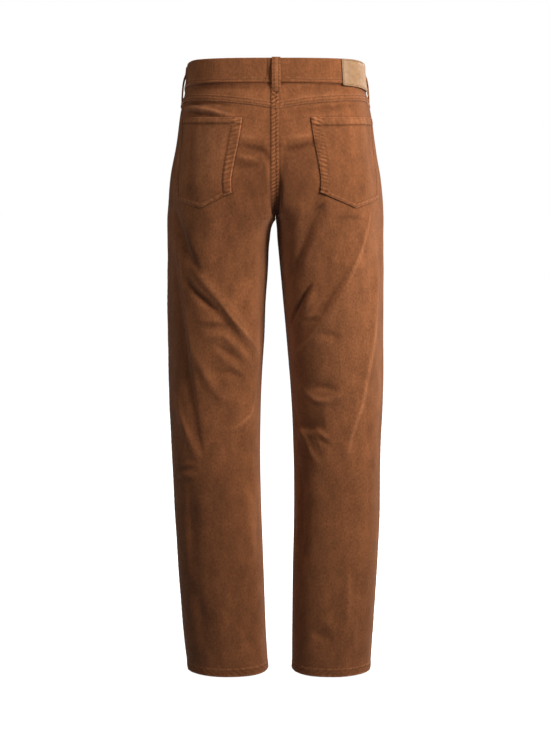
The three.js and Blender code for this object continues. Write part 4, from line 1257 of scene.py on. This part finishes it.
def pocket_face(side, across, w, z):
    """Height, and wear with painted light and shade, of a pocket: a hemmed mouth and double-stitched edges,
    the inner one roped.
    """
    sizes = POCKETS[side]
    outer_w, inner_w = pocket_edges(side, z)
    from_outer, from_inner = w - outer_w, inner_w - w
    from_top = mix(*POCKET_TOP_Z, across) - z
    from_bottom = (z - pocket_bottom(across)) * 0.96
    nearest = np.minimum(np.minimum(from_outer, from_inner), np.minimum(from_top + 0.4, from_bottom))
    hem, inner_band = sizes["hem"], np.interp(from_top, POCKET_BAND_REACH, sizes["band"])
    seed = POCKET_SEED[side]
    inner_rope = rope(z, from_inner, sizes["pitch"], 0.35, seed) * plateau(from_inner, 1, inner_band, 2.5)
    outer_rope = rope(z, from_outer, 9.5, -0.5, seed + 1) * plateau(from_outer, 1, 8, 3)
    bottom_rope = rope(w, from_bottom, 9.0, 0.6, seed + 2) * plateau(from_bottom, 1, 7, 2.5)
    top_rope = rope(w, from_top, 11, 0.3, seed + 3) * plateau(from_top, 1, hem, 2.5)
    stitched = groove(nearest - 2.0)
    second = groove(from_inner - inner_band) + 0.8 * groove(from_outer - 8) + groove(from_bottom - 7.2)
    second = second + groove(from_top - hem, 1.2)
    ropes = 1.3 * inner_rope + 0.7 * outer_rope + 0.6 * bottom_rope + 0.5 * top_rope
    bag = 1.3 * smooth(6, 40, nearest)
    height = 0.55 * ropes - 0.4 * stitched - 0.45 * second - edge_drop(nearest, 1.3) + bag
    height = height + 0.9 * (1 - smooth(inner_band - 1, inner_band + 1, from_inner))
    height = height + 0.6 * (1 - smooth(hem - 1, hem + 1, from_top))
    height = height + 0.9 * (1 - smooth(7, 9, np.minimum(from_outer, from_bottom)))
    # puckers painted lighter and darker over rubbed pile, a painted highlight along the folded edges, and the
    # stitch rows' dents painted darker as shade
    wear_and_shade = 0.85 * inner_rope + 0.4 * outer_rope + 0.4 * bottom_rope + 0.3 * top_rope
    wear_and_shade = wear_and_shade + 0.8 * bell(nearest - 0.9, 1.2) - 0.7 * np.clip(second, 0, 1) - 0.6 * stitched
    wear_and_shade = wear_and_shade + 0.3 * plateau(from_bottom, 2.6, 6.6, 0.8) + 0.3 * plateau(from_top, 2, hem - 1, 1)
    # painted shade just under the mouth's hem
    return height, wear_and_shade - 0.5 * bell(from_top - hem - 1.6, 1.3)


def sew_pocket(side):
    """Two rows down the outer edge and round the point, two up the inner edge and one along the mouth."""
    sizes, lift = POCKETS[side], POCKET_LIFT + 0.1
    t = np.linspace(0.015, 0.985, 200)
    for inset, rise in ((2.0, 0), (7.2, 0.2)):
        z_down = mix(POCKET_TOP_Z[0] - 1, POCKET_BOTTOM_Z[0] + inset, t)
        sew(side, pocket_edges(side, z_down)[0] + inset, z_down, lift + rise)
        w_bottom, z_bottom = pocket_place(side, t, 1.0)
        sew(side, w_bottom, z_bottom + inset * 1.04, lift + rise)
    z_up = mix(POCKET_TOP_Z[1] - 1, POCKET_BOTTOM_Z[2] + 2, t)
    band = np.interp(POCKET_TOP_Z[1] - z_up, POCKET_BAND_REACH, sizes["band"])
    sew(side, pocket_edges(side, z_up)[1] - 2.0, z_up, lift)
    sew(side, pocket_edges(side, z_up)[1] - band, z_up, lift + 0.3)
    w_top, z_top = pocket_place(side, t, 0.0)
    sew(side, w_top, z_top - sizes["hem"], lift + 0.3)


def add_pocket(side):
    """A pointed patch pocket laid on the back panel."""
    half = spaced(63, 3.2, 0.95, 15, 0) / 126
    across = np.concatenate([half, 1 - half[-2::-1]])[None, :]
    down = spaced(140, 3.2, 0.9, 16, 12)[:, None] / 140
    w, z = pocket_place(side, across, down)
    height, wear_and_shade = pocket_face(side, across, w, z)
    piece = add_cloth(f"corduroy_pocket_{side}", side, w, z, POCKET_LIFT, height, POCKET_THICK, wear_and_shade)
    sew_pocket(side)
    return finish_cloth(piece, f"pocket_{side}")


# ---- Waistband ----
BAND_STITCH = 5.2  # from the band's lower edge up to its row of stitches


def band_stretches(length):
    """A band length's stretches: the side of the body, w as a function of z, and each column's lift."""
    front = np.linspace(0, 1, 74)[1:]
    if length == "left":
        back = np.linspace(BAND_JOIN, 0, 74)
        past = np.linspace(0, LAP_OVER, 8)[1:]
        lift = LAP_RAISE * smooth(*LAP_SHARE, front)
        return [
            ("left", lambda z: back * length_round("left", "back", z), 0 * back),
            ("left", lambda z: -front * length_round("left", "front", z), lift),
            ("right", lambda z: past - length_round("right", "front", z), LAP_RAISE + 0 * past),
        ]
    join = np.linspace(1, 0, 6)
    back = np.linspace(1, 0, 80)[1:]
    past = np.linspace(0, LAP_UNDER, 12)[1:]

    def join_distance(z):
        """From the centre seam back to the end of the left length, with a hair's gap."""
        whole = length_round("left", "back", z)
        return mix(whole, BAND_JOIN * whole + 0.05, join)

    return [
        ("left", join_distance, 0 * join),
        ("right", lambda z: back * length_round("right", "back", z), 0 * back),
        ("right", lambda z: -front * length_round("right", "front", z), 0 * front),
        ("left", lambda z: past - length_round("left", "front", z), 0 * past),
    ]


def band_section():
    """The band's closed cross section: heights below the top and how far out, with folded edges."""
    rise = spaced(BAND_HEIGHT, 2.2, 0.9, 4, 9)
    low = BAND_HEIGHT - rise
    outer = BAND_PROUD - edge_drop(rise, 1.5) - edge_drop(low, 1.5)
    outer = outer - 0.7 * groove(low - BAND_STITCH) + 0.6 * plateau(low, 1.2, 3.6, 1.2)
    back = spaced(BAND_HEIGHT, 4.1, 1.0, 2, 2)[::-1]
    inner = BAND_PROUD - BAND_THICK + edge_drop(back, 1.4) + edge_drop(BAND_HEIGHT - back, 1.4)
    return np.concatenate([rise, back]), np.concatenate([outer, inner])


def band_strip(side, w_at, lift, down, out):
    """Points and normals of one stretch: the section set round the waist, a little uneven and puckered."""
    w = np.stack([w_at(-level) for level in down], axis=1)
    z = -down + 0 * w
    seed = 31 + (side == "right")
    uneven = 0.8 * drift(w / 38, -z / 25, seed) * smooth(0, 12, -z)
    low = BAND_HEIGHT + z
    puckers = 0.3 * rope(w, low, 9.5, 0.6, seed + 2) * plateau(low, 0.5, 5, 3) * outer_half(down)
    return place(side, w, z, out + lift[:, None] + uneven + puckers, draped=False)


def outer_half(down):
    """Which points of the band's section are on its outer face: the first half."""
    return np.arange(len(down)) < len(down) / 2


def band_wear_and_shade(run, down):
    """Rubbed edges and puckers, lightened partly as painted highlight, and the stitch row's dent and the
    rolled lower edge painted darker as shade, on the band's outer face.
    """
    low = BAND_HEIGHT - down
    wear_and_shade = 0.2 * rope(run, down, 9.5, 0.6, 33) * plateau(low, 0, 5, 3) + 0.35 * bell(low - 2, 2)
    wear_and_shade = wear_and_shade + 0.4 * bell(down, 1.5) - 0.5 * groove(low - BAND_STITCH)
    return (wear_and_shade - 0.7 * bell(low, 1) + 0.25 * bell(low - 7.4, 1.2)) * outer_half(down)


def add_waistband(length):
    """One waistband length: the closed section carried round the waist, its ends closed."""
    down, out = band_section()
    strips = [band_strip(side, w_at, lift, down, out) for side, w_at, lift in band_stretches(length)]
    points, normals = (np.concatenate(parts) for parts in zip(*strips))
    middle = points[:, len(down) // 4]
    run = np.concatenate([[0], np.cumsum(np.linalg.norm(np.diff(middle, axis=0), axis=1))])[:, None]
    uv = np.stack(np.broadcast_arrays(run, down), axis=-1)
    piece = add_tube(f"corduroy_waistband_{length}", points, CORDUROY, uv, band_wear_and_shade(run, down))
    row = int(np.argmin(np.abs(down[: len(down) // 2] - (BAND_HEIGHT - BAND_STITCH))))
    sew_along(points[:, row], normals[:, row], sink=0.1)
    return finish_cloth(piece, f"waistband_{length}")


# ---- Belt loops ----
LOOP_WIDTH = 14
LOOP_THICK = 2.2
LOOP_TOP = 0.8
LOOP_STITCH = 4.1  # from a loop's middle to its rows of stitches
LOOP_TACKS = (0.22, 0.9, 0.96)  # shares down a loop where it is tacked
# Shares down a loop, and how far it stands off the cloth there.
LOOP_PROFILE = table(
    "down out",
    (0, BAND_PROUD + SEAM_GAP),
    (0.16, BAND_PROUD + SEAM_GAP),
    (0.3, BAND_PROUD + 2.9),
    (0.45, BAND_PROUD + 3.6),
    (0.62, BAND_PROUD + 3.0),
    (0.8, BAND_PROUD + 0.8),
    (0.9, SEAM_GAP + 0.4),
    (1, SEAM_GAP + 0.2),
)
# Each loop's side, the w of its middle and the height of its lower end.
LOOPS = {
    "loop_back": ("right", "centre", -56),
    "loop_side_left": ("left", 4, -68),
    "loop_side_right": ("right", 0, -68),
    "loop_front_left": ("left", -128, -56),
    "loop_front_right": ("right", -128, -56),
}


def loop_place(side, centre, across, z):
    """Points and normals of the cloth under a loop, across it and down it, before it stands off."""
    z = np.minimum(z, 0)
    if centre != "centre":
        return place(side, centre + across, z, draped=False)
    across = across + 1
    left, left_normals = place("left", length_round("left", "back", z) - np.abs(across), z, draped=False)
    right, right_normals = place("right", length_round("right", "back", z) - np.abs(across), z, draped=False)
    chosen = (across < 0)[..., None]
    return np.where(chosen, left, right), np.where(chosen, left_normals, right_normals)


def loop_stand():
    """Shares down a loop and how far it stands off there, its corners eased by a short running mean."""
    down = np.linspace(0, 1, 60)
    out = np.interp(down, LOOP_PROFILE["down"], LOOP_PROFILE["out"])
    kernel = bell(np.arange(-3, 4), 1.6)
    return down, np.convolve(np.pad(out, 3, mode="edge"), kernel / kernel.sum(), mode="valid")


def sew_loop(side, centre, bottom):
    """Two rows of stitches down a loop, and a bar of close ones across each tack."""
    down, out = loop_stand()
    steps = np.linspace(0.06, 0.97, 80)
    for offset in (-LOOP_STITCH, LOOP_STITCH):
        z = mix(LOOP_TOP, bottom, steps)
        base, normals = loop_place(side, centre, offset + 0 * z, z)
        lift = np.interp(steps, down, out) + LOOP_THICK - 0.15
        sew_along(base + normals * lift[:, None], normals, 2.6, 0.1)
    across = np.linspace(-4.6, 4.6, 24)
    for at in LOOP_TACKS:
        z = mix(LOOP_TOP, bottom, at) + 0 * across
        base, normals = loop_place(side, centre, across, z)
        lift = np.interp(at, down, out) + LOOP_THICK - 0.2
        sew_along(base + normals * lift, normals, 1.1, 0.0)


def add_loop(name):
    """A belt loop: a folded strip with two rows of stitches, tacked to the band and below it.

    Its section is a squared oval: |cos|^0.5 of the half width across and |sin|^0.5 of the thickness.
    """
    side, centre, bottom = LOOPS[name]
    down, out = loop_stand()
    z = mix(LOOP_TOP, bottom, down)[:, None]
    turn = np.linspace(0, 2 * np.pi, 40, endpoint=False)
    across = LOOP_WIDTH / 2 * signed_power(np.cos(turn), 0.5)
    thick = LOOP_THICK / 2 * (1 + signed_power(np.sin(turn), 0.5))
    top, from_middle = np.sin(turn) > 0, np.abs(across)
    stitched = from_middle - LOOP_STITCH
    ridge = top * (0.28 * bell(across, 2.4) - 0.4 * bell(stitched, 0.9))
    tack = np.sum([bell(down - at, 0.014) for at in LOOP_TACKS], axis=0)[:, None] * top
    rungs = rope(z, from_middle, 6.0, 0.3, 55) * bell(from_middle - 5, 2.2) * top
    lift = out[:, None] + thick + ridge - 0.45 * tack + 0.35 * rungs
    wide, level = np.broadcast_arrays(across, z)
    base, normals = loop_place(side, centre, wide, level)
    points = base + normals * lift[..., None]
    points[..., 2] += np.maximum(z, 0)
    edge = from_middle > LOOP_WIDTH / 2 - 1.2
    # lighter down its middle ridge, as painted highlight, and at its rubbed edges; its stitch rows and tacks
    # painted darker as shade in their dents
    wear_and_shade = top * (0.3 * bell(across, 2.5) + 0.35 * edge - 0.5 * bell(stitched, 1)) - 0.6 * tack + 0.5 * rungs
    piece = add_tube(f"corduroy_{name}", points, CORDUROY, np.stack([wide, level], axis=-1), wear_and_shade)
    sew_loop(side, centre, bottom)
    return finish_cloth(piece, name)


# ---- Leather patch ----
PATCH_COLUMNS = (1 / 15, 7.4 / 15)  # shares of the right back where it starts and ends
PATCH_BOTTOM = (-51, -44.5)  # heights of its lower corners
PATCH_THICK = 1.6
PATCH_SIZE = (100.0, 46.0)  # across and down, for its rounded edges and its grain


def patch_place(across, down, lift):
    """A point of the patch from shares across, from the side, and down, following the band's flare."""
    z = mix(-0.8, mix(*PATCH_BOTTOM, across), down)
    share = mix(*PATCH_COLUMNS, across)
    return place("right", share * length_round("right", "back", z), z, lift, draped=False)


def add_patch():
    """The bare leather patch, its cut edges rounded and its stitches pulling small dents."""
    across = spaced(100, 2.6, 0.8, 4, 4)[None, :] / 100
    down = spaced(48, 2.2, 0.8, 4, 4)[:, None] / 48
    across, down = np.broadcast_arrays(across, down)
    wide, tall = across * PATCH_SIZE[0], down * PATCH_SIZE[1]
    nearest = np.minimum(
        np.minimum(across, 1 - across) * PATCH_SIZE[0], np.minimum(down, 1 - down) * PATCH_SIZE[1]
    )
    uneven = 0.35 * drift(across * 5, down * 3, 51) + 0.15 * drift(across * 14, down * 8, 52)
    height = uneven * smooth(0, 8, nearest) - edge_drop(nearest, 0.8) - 0.3 * groove(nearest - 2.6)
    base = BAND_PROUD + SEAM_GAP
    outer, normals = patch_place(across, down, base + PATCH_THICK + height)
    inner = outer - normals * (PATCH_THICK + height)[..., None]
    uv = np.stack([wide, tall], axis=-1)
    # the cut edges darkened with wear; the stitch line's dents painted darker as shade
    wear_and_shade = -bell(nearest, 0.9) - 0.35 * groove(nearest - 2.6, 0.8)
    piece = add_shell("leather_patch", outer, inner, LEATHER, uv, wear_and_shade)
    t = np.linspace(0.025, 0.975, 120)
    rows = ((t, 0 * t + 0.055), (t, 0 * t + 0.945), (0 * t + 0.026, t), (0 * t + 0.974, t))
    for a, d in rows:
        sew_along(*patch_place(a, d, base + PATCH_THICK - 0.2), 2.8, 0.1)
    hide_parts("patch_leather")
    return piece


# ---- Fly shield, fly stitches and button ----
SHIELD_Z = (-52, -135)  # heights of the shield's top and bottom
SHIELD_THICK = 1.4


def add_fly_shield():
    """The shield behind the opening, a plain strip under both fronts."""
    t = np.linspace(0, 1, 40)[:, None]
    z = mix(*SHIELD_Z, t)
    lengths = length_round("left", "front", z)
    left_w = -(lengths - mix(LAP_UNDER, HALF_GAP, np.linspace(0, 1, 16)[None, :]))
    right_w = mix(0.5, 7.5, np.linspace(0, 1, 5)[None, :]) - length_round("right", "front", z)
    lift = -CLOTH - 0.5
    left, left_normals = place("left", left_w, z + 0 * left_w, lift)
    right, right_normals = place("right", right_w, z + 0 * right_w, lift)
    outer = np.concatenate([left, right], axis=1)
    normals = np.concatenate([left_normals, right_normals], axis=1)
    inner = outer - normals * SHIELD_THICK
    run = np.broadcast_to(np.linspace(0, 42, outer.shape[1])[None, :], outer.shape[:2])
    uv = np.stack([run, np.broadcast_to(z, outer.shape[:2])], axis=-1)
    piece = add_shell("corduroy_fly_shield", outer, inner, CORDUROY, uv, np.zeros(outer.shape[:2]))
    return finish_cloth(piece, "fly_shield")


def sew_fronts_and_hems():
    """The fly's J, the felled seams and the hems."""
    z = np.linspace(WAIST_Z - 2, FLY["bottom"] + FLY["turn"], 120)
    bend = np.linspace(0, 0.97 * np.pi / 2, 60)
    down = FLY["bottom"] + FLY["turn"] * (1 - np.sin(bend))
    z = np.concatenate([z, down[1:]])
    inset = np.concatenate([np.full(120, FLY["width"]), FLY["width"] * np.cos(bend[1:])])
    for gap in (0.0, 5.5):
        edge = np.maximum(inset - gap, 1.0)
        sew("left", edge - length_round("left", "front", z), z, 0.5)
    for side in SIDES:
        z = np.linspace(-290, HEM_Z + HEM_TURN, 600)
        for edge in INSEAM_ROWS:
            sew(side, length_round(side, "back", z) - edge, z, 0.3)
        for sign, face in ((1, "back"), (-1, "front")):
            level = HEM_Z + HEM_STITCH
            w = np.linspace(1, length_round(side, face, level) - 1, 300)
            sew(side, sign * w, level + 0 * w, 0.4)
    z = np.linspace(WAIST_Z - 16, -250, 300)
    for side, band in CENTRE_BAND.items():
        sew(side, length_round(side, "back", z) - band + 1.4, z, 0.75, 3.2, 0.35)


BUTTON_THICK = 3.2
BUTTON_PLACE = (5, -20.0)  # how far past the centre front on the right, and its height
# Shares of the button's radius and thickness, from the middle of its back round to the middle of its front.
BUTTON_PROFILE = table(
    "across deep",
    (0.02, 0),
    (0.86, 0),
    (0.96, 0.12),
    (1, 0.4),
    (1, 0.7),
    (0.95, 0.93),
    (0.88, 1),
    (0.8, 0.97),
    (0.74, 0.8),
    (0.68, 0.72),
    (0.3, 0.7),
    (0.22, 0.78),
    (0.1, 0.82),
    (0.02, 0.82),
)


def add_button():
    """The waist button: a dished disc with a raised rim, a profile turned round the button's own axis."""
    low, high = (np.array(corner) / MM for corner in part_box("button_waist"))
    past, level = BUTTON_PLACE
    _, normal = place("right", past - length_round("right", "front", level), level, draped=False)
    across = np.cross(normal, (0, 0, 1))
    across = across / np.linalg.norm(across)
    up = np.cross(across, normal)
    turn = np.linspace(0, 2 * np.pi, 64, endpoint=False)
    reach = (high[0] - low[0]) / 2 * BUTTON_PROFILE["across"][:, None]
    depth = BUTTON_THICK * (BUTTON_PROFILE["deep"][:, None] - 0.5)
    points = (
        (low + high) / 2
        + across * (reach * np.cos(turn))[..., None]
        + up * (reach * np.sin(turn))[..., None]
        + normal * (depth + 0 * turn)[..., None]
    )
    piece = add_tube("brass_button", points, BRASS)
    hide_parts("button_waist")
    return piece


for side in SIDES:
    add_waistband(side)
    add_yoke(side)
    add_panel(side, "back")
    add_panel(side, "front")
    add_pocket(side)
for name in LOOPS:
    add_loop(name)
add_patch()
add_fly_shield()
sew_fronts_and_hems()
add_button()
add_stitches("thread_stitches")


# ---- Studio ----
def add_floor():
    """A plain pale floor just under the hems."""
    size, level = 30.0, cad_bounds[0].z - 0.004
    corners = [(-size, -size, level), (size, -size, level), (size, size, level), (-size, size, level)]
    mesh = bpy.data.meshes.new("floor")
    mesh.from_pydata(corners, [], [(0, 1, 2, 3)])
    material, _, _, shader = start_material("floor", (0.9, 0.9, 0.9), 0.9, Emission_Strength=1.0)
    shader.inputs["Emission Color"].default_value = (1, 1, 1, 1)
    mesh.materials.append(material)
    floor = bpy.data.objects.new("floor", mesh)
    bpy.context.scene.collection.objects.link(floor)
    floor.visible_diffuse = False


AIM = (0, 0, -0.35)  # the middle of the seat and thighs


def add_light(name, spot, power):
    """A soft round lamp 0.8 m across, turned towards the thighs."""
    light = bpy.data.lights.new(name, "AREA")
    light.shape, light.size, light.energy = "DISK", 0.8, power
    lamp = bpy.data.objects.new(name, light)
    lamp.location = spot
    lamp.rotation_euler = (Vector(AIM) - Vector(spot)).to_track_quat("-Z", "Y").to_euler()
    bpy.context.scene.collection.objects.link(lamp)


def add_world():
    """White to the camera, and a dim even fill on the cloth."""
    world = bpy.data.worlds.new("studio")
    bpy.context.scene.world = world
    world.use_nodes = True
    nodes, links = world.node_tree.nodes, world.node_tree.links
    background = nodes["Background"]
    background.inputs["Color"].default_value = (1, 1, 1, 1)
    path = nodes.new("ShaderNodeLightPath")
    strength = nodes.new("ShaderNodeMapRange")
    strength.inputs["To Min"].default_value = 0.02
    strength.inputs["To Max"].default_value = 1.0
    links.new(path.outputs["Is Camera Ray"], strength.inputs["Value"])
    links.new(strength.outputs["Result"], background.inputs["Strength"])


def add_camera():
    """The camera stands behind the wearer, a little below the waist, and looks down by 8 degrees."""
    camera = bpy.data.cameras.new("camera")
    camera.lens, camera.sensor_width, camera.clip_start, camera.clip_end = 64.6, 36, 0.05, 100
    camera.shift_x = -0.0007
    holder = bpy.data.objects.new("camera", camera)
    holder.location = (0, -2.34, -0.2)
    holder.rotation_euler = (np.radians(90 - 8.1), 0, 0)
    bpy.context.scene.collection.objects.link(holder)
    bpy.context.scene.camera = holder


add_floor()
add_world()
add_light("key", (1.3, -1.0, 0.5), 43)
add_light("fill", (-1.2, -1.2, 0.6), 9)
add_light("behind", (1.8, 1.8, 0.9), 40)
add_light("low", (1.3, -1.2, -0.6), 4)
add_camera()
bpy.context.scene.view_settings.view_transform = "Standard"
